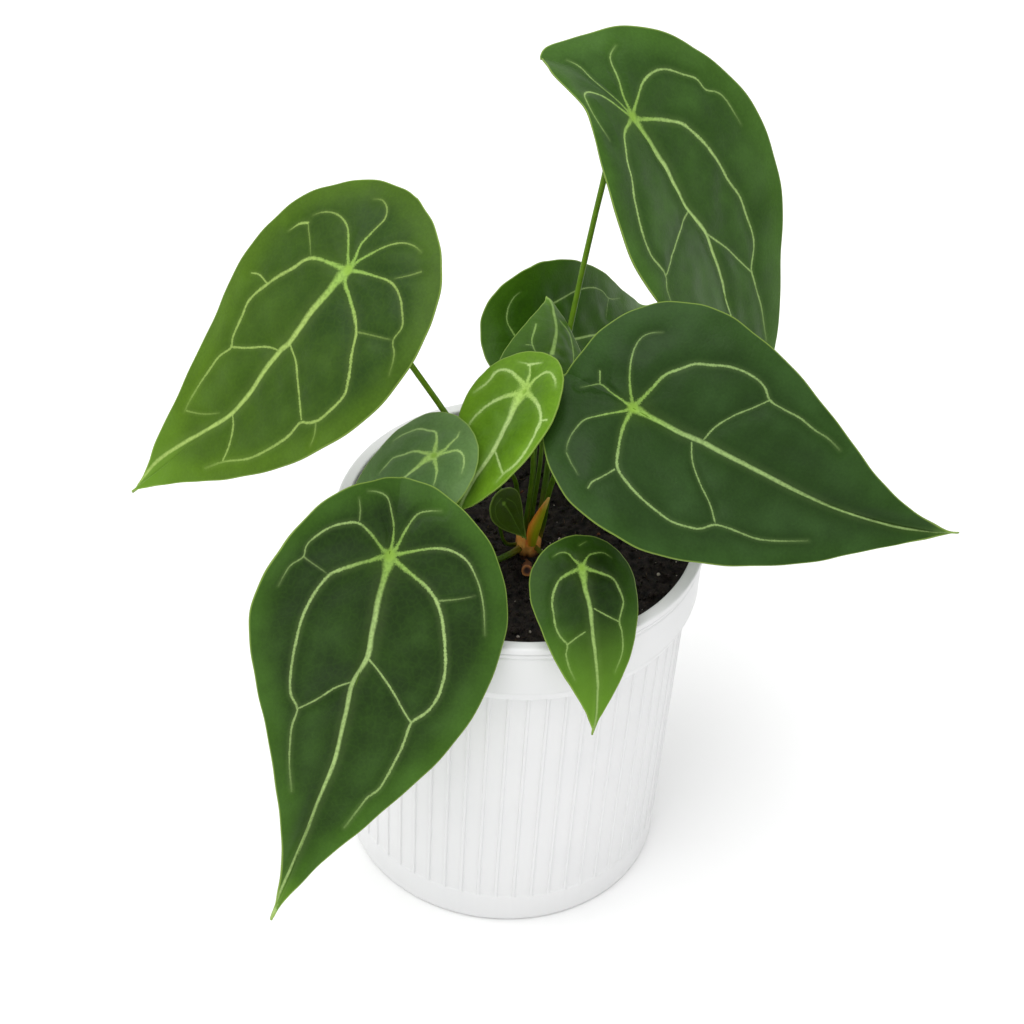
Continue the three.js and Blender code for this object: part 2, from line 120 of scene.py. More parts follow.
def soft_lamp(name, place, size, power):
    """A square lamp that faces the plant."""
    data = bpy.data.lights.new(name, "AREA")
    data.size = size
    data.energy = power
    lamp = bpy.data.objects.new(name, data)
    lamp.location = place
    lamp.rotation_euler = (Vector(CAMERA_TARGET) - place).to_track_quat("-Z", "Y").to_euler()
    bpy.context.collection.objects.link(lamp)


floor_bm = bmesh.new()
bmesh.ops.create_grid(floor_bm, x_segments=1, y_segments=1, size=FLOOR_SIZE / 2)
floor_material, floor_tree = surface("white_sweep")
finish(floor_tree, {"Base Color": FLOOR_WHITE, "Roughness": 0.7, "Specular IOR Level": 0.1})
floor = shaped("floor", floor_bm, floor_material)

soft_lamp("key", KEY_PLACE, KEY_SIZE, KEY_POWER)
soft_lamp("rim", RIM_PLACE, RIM_SIZE, RIM_POWER)
world = bpy.data.worlds.new("sky")
world.use_nodes = True
fill(world.node_tree.nodes["Background"], {"Color": SKY_WHITE, "Strength": SKY_STRENGTH})
bpy.context.scene.world = world
bpy.context.scene.view_settings.view_transform = "Standard"

# Pot. White polypropylene, moulded in one piece: a tapered body of flat panels with a thin upright rib
# on each corner, a plain foot band, a wide collar with a bead and groove, and a rolled lip. Six holes
# through its floor let water out.
MM = 0.001
RIB_COUNT = 56
RIB_HEIGHT = 0.43
# Millimetres aside of a rib and the share of its height there, from its middle towards the next rib's
RIB_STEPS = ((0, 1), (0.2, 1), (0.42, 0.85), (0.6, 0), (1.5, 0), (3.03, 0), (-1.5, 0), (-0.6, 0),
             (-0.42, 0.85), (-0.2, 1))
POT_WALL = 1.8
POT_FLOOR = 2.5
FOOT_RADIUS = 52.8
NECK_RADIUS = 55.9
NECK_HEIGHT = 111.3
BAND_TOP = 12.3
PANEL_TOP = 109.3
INNER_SHOULDER = 106
MOUTH_RADIUS = 56.0
ON_AXIS = 1
MERGE_DISTANCE = 0.001
DRAIN_COUNT = 6
DRAIN_RADIUS = 4.0
DRAIN_CIRCLE = 36.0
DRAIN_SIDES = 32
CREASE_ANGLE = math.radians(50)
POT_SHADE = (0.715, 0.72, 0.725, 1)
POT_WHITE = (0.765, 0.765, 0.765, 1)

pot_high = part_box("pot")[1]
RIM = pot_high[0] / MM
TOP = pot_high[2] / MM


def body_radius(height):
    return FOOT_RADIUS + (NECK_RADIUS - FOOT_RADIUS) * height / NECK_HEIGHT


def panel_radius(height):
    return body_radius(height) - RIB_HEIGHT


def rounded(corners):
    """A profile's places, from corners of radius, height and rounding, with each rounding as a short arc."""
    places = []
    for i, (radius, height, rounding) in enumerate(corners):
        corner = Vector((radius, height))
        if rounding == 0 or i in (0, len(corners) - 1):
            places.append(corner)
            continue
        before = (Vector(corners[i - 1][:2]) - corner).normalized() * rounding
        after = (Vector(corners[i + 1][:2]) - corner).normalized() * rounding
        for share in (0, 0.25, 0.5, 0.75, 1):
            places.append(corner + before * (1 - share) ** 2 + after * share ** 2)
    return places


def spun(profile, steps):
    """A bmesh of radii and heights in millimetres that are spun round the pot's axis."""
    bm = bmesh.new()
    places = [bm.verts.new((radius, 0, height)) for radius, height in profile]
    edges = [bm.edges.new(pair) for pair in zip(places, places[1:])]
    bmesh.ops.spin(bm, geom=places + edges, axis=(0, 0, 1), cent=(0, 0, 0), dvec=(0, 0, 0),
                   angle=2 * math.pi, steps=steps, use_merge=True)
    bmesh.ops.remove_doubles(bm, verts=bm.verts, dist=MERGE_DISTANCE)
    return bm


def to_metres(bm):
    """Turns a spun bmesh's faces outwards, and its millimetres into metres."""
    bmesh.ops.recalc_face_normals(bm, faces=bm.faces)
    bmesh.ops.scale(bm, vec=(MM, MM, MM), verts=bm.verts)


def new_piece(name, bm, material, node, smooth=True):
    """Makes a piece of a bmesh, that rides with the plant and may stand for a node of the frame."""
    for face in bm.faces:
        face.smooth = smooth
    piece = shaped(name, bm, material)
    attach(piece, "root")
    if node:
        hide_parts(node)
    return piece


def put(tree, kind, values=None, **settings):
    """Adds a shader node, with its settings and its inputs' values or links, and returns its outputs."""
    made = tree.nodes.new("ShaderNode" + kind)
    for name, value in settings.items():
        setattr(made, name, value)
    fill(made, values or {})
    return made.outputs


def grain(tree, where, scale, detail, roughness=0.5):
    """Cloudy noise, 0 to 1."""
    return put(tree, "TexNoise", {"Vector": where, "Scale": scale, "Detail": detail,
                                  "Roughness": roughness})["Fac"]


def spread(tree, value, low, high, start=0, end=1, easing="LINEAR"):
    """Goes from start to end while a value goes from low to high, and stays there past them."""
    return put(tree, "MapRange", {"Value": value, "From Min": low, "From Max": high, "To Min": start,
                                  "To Max": end}, interpolation_type=easing)["Result"]


def blend(tree, share, first, second):
    """A colour between two colours."""
    return put(tree, "Mix", {"Factor": share, "A": first, "B": second}, data_type="RGBA")["Result"]


def bumped(tree, height, strength, distance):
    """The normals of a fine relief, whose depth is given in millimetres."""
    return put(tree, "Bump", {"Height": height, "Strength": strength, "Distance": distance * MM})["Normal"]


pot_profile = rounded((
    (0, 0, 0), (FOOT_RADIUS, 0, 2.2), (body_radius(BAND_TOP), BAND_TOP, 0.3),
    (panel_radius(BAND_TOP), BAND_TOP + 0.7, 0.3), (panel_radius(PANEL_TOP), PANEL_TOP, 0.5),
    (NECK_RADIUS - 0.1, NECK_HEIGHT - 0.9, 0.3), (NECK_RADIUS, NECK_HEIGHT, 0.2),
    (NECK_RADIUS + 1.6, NECK_HEIGHT + 0.1, 0.5), (RIM - 1.2, NECK_HEIGHT + 3.4, 0.8),
    (RIM - 1.0, NECK_HEIGHT + 4.2, 0.4), (RIM - 0.75, TOP - 5.6, 0.3), (RIM - 1.1, TOP - 4.9, 0.3),
    (RIM - 0.45, TOP - 4.0, 0.3), (RIM - 0.45, TOP - 3.1, 0.3), (RIM - 1.0, TOP - 2.7, 0.2),
    (RIM, TOP - 2.3, 0.3), (RIM, TOP, 0.9), (MOUTH_RADIUS, TOP, 0.9),
    (MOUTH_RADIUS, NECK_HEIGHT + 1, 0.8), (panel_radius(INNER_SHOULDER) - POT_WALL, INNER_SHOULDER, 0.8),
    (panel_radius(POT_FLOOR) - POT_WALL, POT_FLOOR, 1.0), (0, POT_FLOOR, 0),
))
pot_bm = spun(pot_profile, RIB_COUNT * len(RIB_STEPS))
rib_pitch = 2 * math.pi / RIB_COUNT
ribs_low, ribs_high, skin_depth = BAND_TOP - 0.4, NECK_HEIGHT - 0.5, 0.2
for place in pot_bm.verts:
    radius = math.hypot(place.co.x, place.co.y)
    if radius < ON_AXIS:
        continue
    step = round(math.atan2(place.co.y, place.co.x) / (rib_pitch / len(RIB_STEPS)))
    rib, part = divmod(step, len(RIB_STEPS))
    aside, share = RIB_STEPS[part]
    if part > len(RIB_STEPS) // 2:
        rib += 1
    turn = rib * rib_pitch + aside / FOOT_RADIUS
    height = place.co.z
    if radius > panel_radius(height) - skin_depth and ribs_low < height < ribs_high:
        from_middle = turn - (math.floor(turn / rib_pitch) + 0.5) * rib_pitch
        flat = radius * math.cos(rib_pitch / 2) / math.cos(from_middle)
        radius = flat + (max(body_radius(height), radius) - flat) * share
    place.co.x = radius * math.cos(turn)
    place.co.y = radius * math.sin(turn)
to_metres(pot_bm)

drill_bm = bmesh.new()
for i in range(DRAIN_COUNT):
    turn = 2 * math.pi * (i + 0.5) / DRAIN_COUNT
    where = Vector((DRAIN_CIRCLE * math.cos(turn), DRAIN_CIRCLE * math.sin(turn), POT_FLOOR / 2)) * MM
    bmesh.ops.create_cone(drill_bm, cap_ends=True, segments=DRAIN_SIDES, radius1=DRAIN_RADIUS * MM,
                          radius2=DRAIN_RADIUS * MM, depth=3 * POT_FLOOR * MM,
                          matrix=Matrix.Translation(where))
drill = shaped("drill", drill_bm)

pot_material, pot_tree = surface("white_polypropylene")
pot_where = put(pot_tree, "TexCoord")["Object"]
pot_clouds = grain(pot_tree, pot_where, scale=45, detail=3)
pot_grain = grain(pot_tree, pot_where, scale=2600, detail=2)
finish(pot_tree, {"Base Color": blend(pot_tree, pot_clouds, POT_SHADE, POT_WHITE),
                  "Roughness": spread(pot_tree, pot_clouds, 0, 1, 0.3, 0.42), "Specular IOR Level": 0.4,
                  "Normal": bumped(pot_tree, pot_grain, strength=0.12, distance=0.1)})
pot_piece = new_piece("pot_shell", pot_bm, pot_material, "pot")

drilling = pot_piece.modifiers.new("drain_holes", "BOOLEAN")
drilling.object = drill
drilling.operation = "DIFFERENCE"
drilling.solver = "MANIFOLD"
graph = bpy.context.evaluated_depsgraph_get()
drilled_mesh = bpy.data.meshes.new_from_object(pot_piece.evaluated_get(graph))
pot_piece.modifiers.clear()
pot_piece.data = drilled_mesh
drilled_mesh.set_sharp_from_angle(angle=CREASE_ANGLE)
bpy.data.objects.remove(drill)

# Soil. Fine dark peat, pressed in to a finger's breadth under the lip. Its top is crumbly, with loose
# crumbs, fibres, bark chips and a few pale grains of perlite lying on it.
SOIL_HEIGHT = 122.6
SOIL_DISH = 1.1
LUMP_HEIGHT = 1.1
LUMP_SPACING = 7
LUMP_LAYER = 3.7
LUMP_ROUGHNESS = (0.8, 2.1, 4)
CRUMB_HEIGHT = 0.9
CRUMB_SPACING = 2.1
CRUMB_LAYER = 9.1
SOIL_RADIUS = MOUTH_RADIUS - 0.2
SOIL_GAP = 0.3
SOIL_SPOKES = 320
SOIL_RINGS = 64
CRUMB_COUNT = 2200
GRAIN_COUNT = 110
CHIP_COUNT = 34
FIBRE_COUNT = 130
FIBRE_POINTS = 4
FIBRE_REACH = 0.93
FIBRE_LENGTHS = (1.5, 5)
FIBRE_LIFTS = (0.05, 0.6)
FIBRE_LIMIT = 0.97
FIBRE_BEND = 0.5
FIBRE_ENDS = (0.05, 0.04)
FIBRE_MIDDLES = (0.06, 0.13)
BATCH_COUNT = 100
LOOSE_LENGTHS = (0.6, 1.3)
LOOSE_WIDTHS = (0.5, 1.1)
LOOSE_THICKNESS = 0.7
NEARLY_A_TURN = 6.28


def screen(red, green, blue):
    """A colour as it shows on a screen, 0 to 255, as the shader's own linear values."""
    shares = (red / 255, green / 255, blue / 255)
    linear = [share / 12.92 if share < 0.04045 else ((share + 0.055) / 1.055) ** 2.4 for share in shares]
    return (*linear, 1)


def soil_top(x, y):
    """The height of the soil's surface, all in millimetres."""
    lumps = noise.fractal(Vector((x / LUMP_SPACING, y / LUMP_SPACING, LUMP_LAYER)), *LUMP_ROUGHNESS)
    crumbs = noise.turbulence(Vector((x / CRUMB_SPACING, y / CRUMB_SPACING, CRUMB_LAYER)), 3, False)
    dish = SOIL_DISH * (x * x + y * y) / SOIL_RADIUS ** 2
    return SOIL_HEIGHT - dish + LUMP_HEIGHT * lumps + CRUMB_HEIGHT * (crumbs - 0.5)


soil_low = POT_FLOOR + 0.1
soil_shoulder = INNER_SHOULDER - 1
soil_profile = [(0, soil_low), (panel_radius(POT_FLOOR) - POT_WALL - SOIL_GAP, soil_low),
                (panel_radius(soil_shoulder) - POT_WALL - SOIL_GAP, soil_shoulder),
                (SOIL_RADIUS, NECK_HEIGHT + 2)]
soil_profile += [(SOIL_RADIUS * (1 - i / SOIL_RINGS), SOIL_HEIGHT) for i in range(SOIL_RINGS + 1)]
soil_bm = spun(soil_profile, SOIL_SPOKES)
for place in soil_bm.verts:
    if place.co.z > SOIL_HEIGHT - 0.01:
        place.co.z = soil_top(place.co.x, place.co.y)
to_metres(soil_bm)


def earthy(name, dark, light, scale):
    """A rough damp material that wanders between two browns."""
    material, tree = surface(name)
    where = put(tree, "TexCoord")["Object"]
    coarse = grain(tree, where, scale, detail=6, roughness=0.65)
    fine = grain(tree, where, scale * 5, detail=4)
    finish(tree, {"Base Color": blend(tree, spread(tree, coarse, 0.4, 0.68), dark, light),
                  "Roughness": spread(tree, fine, 0, 1, 0.6, 1.0), "Specular IOR Level": 0.25,
                  "Normal": bumped(tree, fine, strength=0.6, distance=0.6)})
    return material


peat = earthy("peat", screen(17, 15, 14), screen(54, 44, 39), scale=420)
new_piece("soil_bed", soil_bm, peat, "soil")

draw = random.Random(41)


def scattered(name, count, smallest, largest, material, subdivisions=1, lift=0.15, reach=0.985):
    """Strews irregular lumps over the soil, sized in millimetres, each turned and squashed by chance."""
    bm = bmesh.new()
    batch_mesh = bpy.data.meshes.new(name + "_batch")
    batch = bmesh.new()
    for i in range(count):
        turn = draw.uniform(0, 2 * math.pi)
        radius = SOIL_RADIUS * reach * math.sqrt(draw.random())
        x, y = radius * math.cos(turn), radius * math.sin(turn)
        size = smallest + (largest - smallest) * draw.random() ** 3
        spin = Euler([draw.uniform(0, NEARLY_A_TURN) for _ in range(3)]).to_matrix().to_4x4()
        shape = Matrix.Diagonal((size * draw.uniform(*LOOSE_LENGTHS), size * draw.uniform(*LOOSE_WIDTHS),
                                 size * LOOSE_THICKNESS, 1))
        place = Matrix.Translation((x, y, soil_top(x, y) + lift * size))
        matrix = Matrix.Diagonal((MM, MM, MM, 1)) @ place @ spin @ shape
        bmesh.ops.create_icosphere(batch, subdivisions=subdivisions, radius=0.5, matrix=matrix)
        if i % BATCH_COUNT == BATCH_COUNT - 1 or i == count - 1:
            batch.to_mesh(batch_mesh)
            bm.from_mesh(batch_mesh)
            batch.clear()
    batch.free()
    bpy.data.meshes.remove(batch_mesh)
    return new_piece(name, bm, material, None, smooth=False)


scattered("soil_crumbs", CRUMB_COUNT, 0.5, 2.6, peat)
perlite, perlite_tree = surface("perlite")
perlite_specks = grain(perlite_tree, put(perlite_tree, "TexCoord")["Object"], scale=900, detail=3)
perlite_tint = blend(perlite_tree, perlite_specks, screen(90, 76, 66), screen(225, 214, 204))
finish(perlite_tree, {"Base Color": perlite_tint, "Roughness": 0.9})
scattered("perlite_grains", GRAIN_COUNT, 0.4, 1.4, perlite, subdivisions=2, lift=0.3)
bark = earthy("bark", screen(70, 38, 24), screen(140, 86, 54), scale=300)
scattered("bark_chips", CHIP_COUNT, 0.7, 2.4, bark, lift=0.2)


FINE_STEPS = 24
OFF_EVERY_ROD = (0.3, 0.5, 0.81)


def course(points, count):
    """Even steps along a smooth course through the points, which rounds its bends as a bent rod does."""
    points = np.array(points, float)
    line = np.vstack((2 * points[0] - points[1], points, 2 * points[-1] - points[-2]))
    knots = np.concatenate(((0,), np.cumsum(np.linalg.norm(np.diff(line, axis=0), axis=1) ** 0.5)))
    places = []
    for i in range(1, len(line) - 2):
        (a, b, c, d), (p, q, r, s) = line[i - 1:i + 3], knots[i - 1:i + 3]
        for t in np.linspace(q, r, FINE_STEPS + 1)[:FINE_STEPS if i < len(line) - 3 else None]:
            ab = ((q - t) * a + (t - p) * b) / (q - p)
            bc = ((r - t) * b + (t - q) * c) / (r - q)
            cd = ((s - t) * c + (t - r) * d) / (s - r)
            abc = ((r - t) * ab + (t - p) * bc) / (r - p)
            bcd = ((s - t) * bc + (t - q) * cd) / (s - q)
            places.append(((r - t) * abc + (t - q) * bcd) / (r - q))
    places = np.array(places)
    lengths = np.concatenate(((0,), np.cumsum(np.linalg.norm(np.diff(places, axis=0), axis=1))))
    steps = np.linspace(0, lengths[-1], count)
    return np.stack([np.interp(steps, lengths, places[:, axis]) for axis in range(places.shape[1])], axis=1)


def grow_rod(bm, route, radii, sides=12, steps=48, along=None):
    """A closed round rod of changing radius along a course. It is a grid that is wrapped and welded."""
    centres = course(route, steps + 1)
    ways = np.gradient(centres, axis=0)
    ways /= np.linalg.norm(ways, axis=1)[:, None]
    aside = np.cross(ways[0], OFF_EVERY_ROD)
    frames = []
    for way in ways:
        aside = aside - way * (aside @ way)
        aside /= np.linalg.norm(aside)
        frames.append((aside, np.cross(way, aside)))
    shares = np.linspace(0, 1, steps + 1)
    sizes = np.interp(shares, np.linspace(0, 1, len(radii)), radii)
    rows = [0] + list(range(steps + 1)) + [steps]
    grid = bmesh.ops.create_grid(bm, x_segments=sides, y_segments=len(rows) - 1, size=0.5)["verts"]
    for place in grid:
        turn = 2 * math.pi * (place.co.x + 0.5)
        row = round((place.co.y + 0.5) * (len(rows) - 1))
        station = rows[row]
        radius = 0 if row in (0, len(rows) - 1) else sizes[station]
        out = frames[station][0] * math.cos(turn) + frames[station][1] * math.sin(turn)
        place.co = (centres[station] + radius * out) * MM
        if along:
            place[along] = max(0.001, shares[station])
    bmesh.ops.remove_doubles(bm, verts=grid, dist=1e-7)


fibre_bm = bmesh.new()
for _ in range(FIBRE_COUNT):
    turn, heading = draw.uniform(0, NEARLY_A_TURN), draw.uniform(0, NEARLY_A_TURN)
    radius, length = SOIL_RADIUS * FIBRE_REACH * math.sqrt(draw.random()), draw.uniform(*FIBRE_LENGTHS)
    strand = []
    for i in range(FIBRE_POINTS):
        heading += draw.uniform(-FIBRE_BEND, FIBRE_BEND)
        x = radius * math.cos(turn) + i * length / (FIBRE_POINTS - 1) * math.cos(heading)
        y = radius * math.sin(turn) + i * length / (FIBRE_POINTS - 1) * math.sin(heading)
        limit = min(1, SOIL_RADIUS * FIBRE_LIMIT / math.hypot(x, y))
        x, y = x * limit, y * limit
        strand.append((x, y, soil_top(x, y) + draw.uniform(*FIBRE_LIFTS)))
    thickness = (FIBRE_ENDS[0], draw.uniform(*FIBRE_MIDDLES), FIBRE_ENDS[1])
    grow_rod(fibre_bm, strand, thickness, sides=4, steps=8)
bmesh.ops.recalc_face_normals(fibre_bm, faces=fibre_bm.faces)
fibre_material = earthy("peat_fibre", screen(45, 33, 24), screen(120, 92, 64), scale=300)
new_piece("soil_fibres", fibre_bm, fibre_material, None)

# Stem base. The short woody stem that the stalks grow from: a lumpy stub, orange-tan where old stalks
# have broken away, with ring scars round it. It stands in the peat.
STEM_CENTRE = Vector((3, 2.5, 0))
STEM_HALF_WIDTH = 4.2
STEM_HALF_DEPTH = 6.2
STEM_LOW = 112
STEM_TOP = 130.5
SCAR_PITCH = 3.1
NOTCH_PLACE = 2.8
NOTCH_WIDTH = 0.6
NOTCH_DEPTH = 4.0
NOTCH_FOOT = 0.55
NOTCH_FLARE = 0.4
SCAR_DEPTH = 0.16
SCAR_SLANT = 0.7
ROUGH_SHARE = 0.5
ROUGH_SPACING = 2.5
ROUGH_ROUND = 2.2
STEM_ORANGE = screen(240, 128, 26)
STEM_CREAM = screen(255, 206, 118)
STEM_DAMP = screen(58, 34, 20)

stem_bm = bmesh.new()
bmesh.ops.create_uvsphere(stem_bm, u_segments=64, v_segments=48, radius=1)
for place in stem_bm.verts:
    height = (place.co.z + 1) / 2
    turn = math.atan2(place.co.y, place.co.x)
    girth = math.sqrt(max(0, 1 - abs(2 * height - 1) ** 5))
    z = STEM_LOW + (STEM_TOP - STEM_LOW) * height
    scar = SCAR_DEPTH * math.cos(2 * math.pi * (z + SCAR_SLANT * math.sin(turn * 2)) / SCAR_PITCH)
    where = Vector((ROUGH_ROUND * math.cos(turn), ROUGH_ROUND * math.sin(turn), z / ROUGH_SPACING))
    rough = ROUGH_SHARE * noise.fractal(where, 0.9, 2, 3)
    size = girth * (1 + SCAR_DEPTH * (scar + rough))
    place.co = Vector((STEM_HALF_WIDTH * size * math.cos(turn), STEM_HALF_DEPTH * size * math.sin(turn), z))
    place.co += Vector((STEM_CENTRE.x, STEM_CENTRE.y, 0))
    notch = math.exp(-((place.co.x - NOTCH_PLACE) / NOTCH_WIDTH) ** 2)
    place.co.z -= NOTCH_DEPTH * notch * max(0, height - NOTCH_FOOT)
    place.co.y += NOTCH_DEPTH * NOTCH_FLARE * notch * max(0, -math.sin(turn)) * height
bmesh.ops.scale(stem_bm, vec=(MM, MM, MM), verts=stem_bm.verts)
stem_material, stem_tree = surface("stem_bark")
stem_where = put(stem_tree, "TexCoord")["Object"]
stem_height = put(stem_tree, "SeparateXYZ", {"Vector": stem_where})["Z"]
stem_rise = spread(stem_tree, stem_height, (SOIL_HEIGHT - 0.4) * MM, (SOIL_HEIGHT + 3.6) * MM)
stem_grain = grain(stem_tree, stem_where, scale=380, detail=5)
stem_tan = blend(stem_tree, stem_grain, STEM_ORANGE, STEM_CREAM)
finish(stem_tree, {"Base Color": blend(stem_tree, stem_rise, STEM_DAMP, stem_tan), "Roughness": 0.6,
                   "Specular IOR Level": 0.3,
                   "Normal": bumped(stem_tree, stem_grain, strength=0.5, distance=0.5)})
new_piece("stem_stub", stem_bm, stem_material, "stem_base")

# Cataphyll. The pointed papery sheath that held the newest leaf: orange-brown on its back, olive on its
# open side, pale at the tip. It stands on the stem base, with one edge lapped over the other.
SHEATH_ROUTE = ((4, -1.9, 127), (4.2, -2.1, 133), (6, -1.9, 140), (8.4, -1.6, 147))
SHEATH_RADII = (1.45, 1.95, 1.95, 1.5, 0.95, 0.42)
LAP_SIDE = Vector((0.8, -0.6, 0))
LAP_HEIGHT = 0.25
RIDGE_HEIGHT = 0.06
RIDGE_COUNT = 26
OPEN_SIDE = (1, 0.1, 0)
SHEATH_ORANGE = screen(238, 116, 16)
SHEATH_AMBER = screen(250, 166, 56)
SHEATH_OLIVE = screen(164, 168, 18)
SHEATH_TIP = screen(226, 180, 100)

sheath_bm = bmesh.new()
sheath_share = sheath_bm.verts.layers.float.new("along")
grow_rod(sheath_bm, SHEATH_ROUTE, SHEATH_RADII, sides=28, steps=60, along=sheath_share)
bmesh.ops.recalc_face_normals(sheath_bm, faces=sheath_bm.faces)
for place in sheath_bm.verts:
    share = place[sheath_share]
    lap = max(0.0, place.normal.dot(LAP_SIDE)) ** 6
    ridge = RIDGE_HEIGHT * math.sin(RIDGE_COUNT * math.atan2(place.normal.y, place.normal.x))
    place.co += place.normal * (LAP_HEIGHT * lap + ridge) * math.sin(math.pi * share) * MM
sheath_material, sheath_tree = surface("papery_sheath")
sheath_where = put(sheath_tree, "TexCoord")
sheath_along = put(sheath_tree, "Attribute", attribute_name="along")["Fac"]
sheath_side = put(sheath_tree, "VectorMath", {0: sheath_where["Normal"], 1: OPEN_SIDE},
                  operation="DOT_PRODUCT")
sheath_turn = spread(sheath_tree, sheath_side["Value"], -0.95, -0.1)
sheath_grain = grain(sheath_tree, sheath_where["Object"], scale=500, detail=4)
sheath_tint = blend(sheath_tree, sheath_grain, SHEATH_ORANGE, SHEATH_AMBER)
sheath_tint = blend(sheath_tree, sheath_turn, sheath_tint, SHEATH_OLIVE)
sheath_tint = blend(sheath_tree, spread(sheath_tree, sheath_along, 0.75, 1.0), sheath_tint, SHEATH_TIP)
finish(sheath_tree, {"Base Color": sheath_tint, "Roughness": 0.5, "Specular IOR Level": 0.3,
                     "Normal": bumped(sheath_tree, sheath_grain, strength=0.3, distance=0.3)})
new_piece("sheath", sheath_bm, sheath_material, "cataphyll")

# Cut stalk. The stump of an old leaf stalk that leans out of the peat in front of the stem base. Its cut
# end shows a dry tan ring round a dark pith.
STUMP_ROUTE = ((3, -1, 119), (3, -7, 121.5), (3, -13.5, 125.8))
STUMP_RADII = (1.6, 1.6, 1.65, 1.75)
PITH_RADIUS = 0.42
PITH_DEPTH = 1.1
PITH_MARK = 2
STUMP_BROWN = screen(74, 42, 22)
STUMP_TAN = screen(140, 86, 48)
STUMP_RING = screen(178, 112, 62)
PITH_BROWN = screen(52, 22, 14)

stump_bm = bmesh.new()
stump_share = stump_bm.verts.layers.float.new("along")
grow_rod(stump_bm, STUMP_ROUTE, STUMP_RADII, sides=32, steps=40, along=stump_share)
bmesh.ops.recalc_face_normals(stump_bm, faces=stump_bm.faces)
stump_caps = [face for face in stump_bm.faces if all(place[stump_share] > 0.99 for place in face.verts)]
bmesh.ops.inset_region(stump_bm, faces=stump_caps, thickness=(STUMP_RADII[-1] - PITH_RADIUS) * MM, depth=0,
                       use_even_offset=True)
stump_caps = [face for face in stump_caps if face.is_valid]
stump_way = (Vector(STUMP_ROUTE[-1]) - Vector(STUMP_ROUTE[-2])).normalized()
pit = {place for face in stump_caps for place in face.verts}
bmesh.ops.translate(stump_bm, verts=list(pit), vec=stump_way * -PITH_DEPTH * MM)
for place in pit:
    place[stump_share] = PITH_MARK
stump_material, stump_tree = surface("dry_stump")
stump_where = put(stump_tree, "TexCoord")["Object"]
stump_along = put(stump_tree, "Attribute", attribute_name="along")["Fac"]
stump_grain = grain(stump_tree, stump_where, scale=450, detail=5)
stump_tint = blend(stump_tree, stump_grain, STUMP_BROWN, STUMP_TAN)
stump_end = Vector(STUMP_ROUTE[-1]) * MM
from_end = put(stump_tree, "VectorMath", {0: stump_where, 1: stump_end}, operation="DISTANCE")["Value"]
stump_tint = blend(stump_tree, spread(stump_tree, from_end, 0.0019, 0.0026, 1, 0), stump_tint, STUMP_RING)
stump_tint = blend(stump_tree, spread(stump_tree, stump_along, 1.2, 1.7), stump_tint, PITH_BROWN)
finish(stump_tree, {"Base Color": stump_tint, "Roughness": 0.75,
                    "Normal": bumped(stump_tree, stump_grain, strength=0.5, distance=0.4)})
new_piece("stump", stump_bm, stump_material, "cut_stalk")

# Leaves. Each is one grown piece: a round green stalk that ends square under a thin shield-shaped blade,
# with pale looping veins. The stalks grow out of the stem base.
BLADE_THICKNESS = 0.6
FULL_FRONT = 120
GROOVE_DEPTH = 0.2
GROOVE_WIDTH = 1.2
QUILT_HEIGHT = 0.65
QUILT_REACH = 3.6
SWELL_HEIGHT = 0.35
SWELL_LENGTH = 8
SWELL_WIDTH = 7
DENT_HEIGHT = 1.0
DENT_SPACING = 9.0
RIPPLE_HEIGHT = 0.3
RIPPLE_COUNT = 13
RIB_SUNK = 0.25
MIDRIB_SHARES = (0.95, 0.37)
MIDRIB_REACH = 0.88
STALK_FLARE = (1.2, 1, 1, 1, 1.25)
STALK_SQUARE_LENGTH = 7
STALK_END_DEPTH = 0.3
PETIOLE_REACH = 10
PETIOLE_SPREAD = 3.5
PETIOLE_WIDENING = 0.7
# Half-width in millimetres at a vein's start and end, and how strongly it shows at its start and end
VEIN_KINDS = {"midrib": (1.4, 0.66, 1, 0.94), "loop": (0.76, 0.42, 0.9, 0.5), "outer": (0.58, 0.3, 0.85, 0.3),
              "link": (0.4, 0.38, 0.76, 0.72), "faint": (0.34, 0.26, 0.36, 0.2)}
VEIN_LAYERS = ("vein_a", "vein_b", "vein_c")
TIP_GREEN = screen(104, 146, 40)
PETIOLE_GREEN = screen(128, 164, 60)
MARGIN_GREEN = screen(132, 158, 70)
DUST_GREY = screen(190, 196, 180)
# How much lighter than a blade's mean green, in screen steps of red, green and blue, the colour of its
# painted sheen is
PAINTED_SHEEN_PALER = (22, 24, 28)
UNDERSIDE_PALER = 22


def grown_leaf(name, slot, **own):
    """One leaf's values: those that most leaves share, and its own.

    The blade is set by its petiole point in millimetres, its midrib's heading, slope and roll in
    degrees, its lengths to the tip and to the round end, and its half-widths. The values after those
    bend it. Edge holds places on the outline in degrees round it, how far the edge bulges there in
    millimetres, and over how many degrees. Route holds the stalk's course in millimetres. Veins holds
    each vein's kind and the places in the photograph that it was traced through, in pixels across and
    down.
    """
    # Most leaves share a weak painted sheen on the bulges between their veins; some have more, and some none.
    shared = dict(skew=0, edge=(), haze=0.2, pale_tip=0.2, pale_side=0, tip_from=0.86, vein=(154, 182, 110),
                  heart=(136, 172, 78))
    return {**shared, "name": name, "slot": slot, **own}


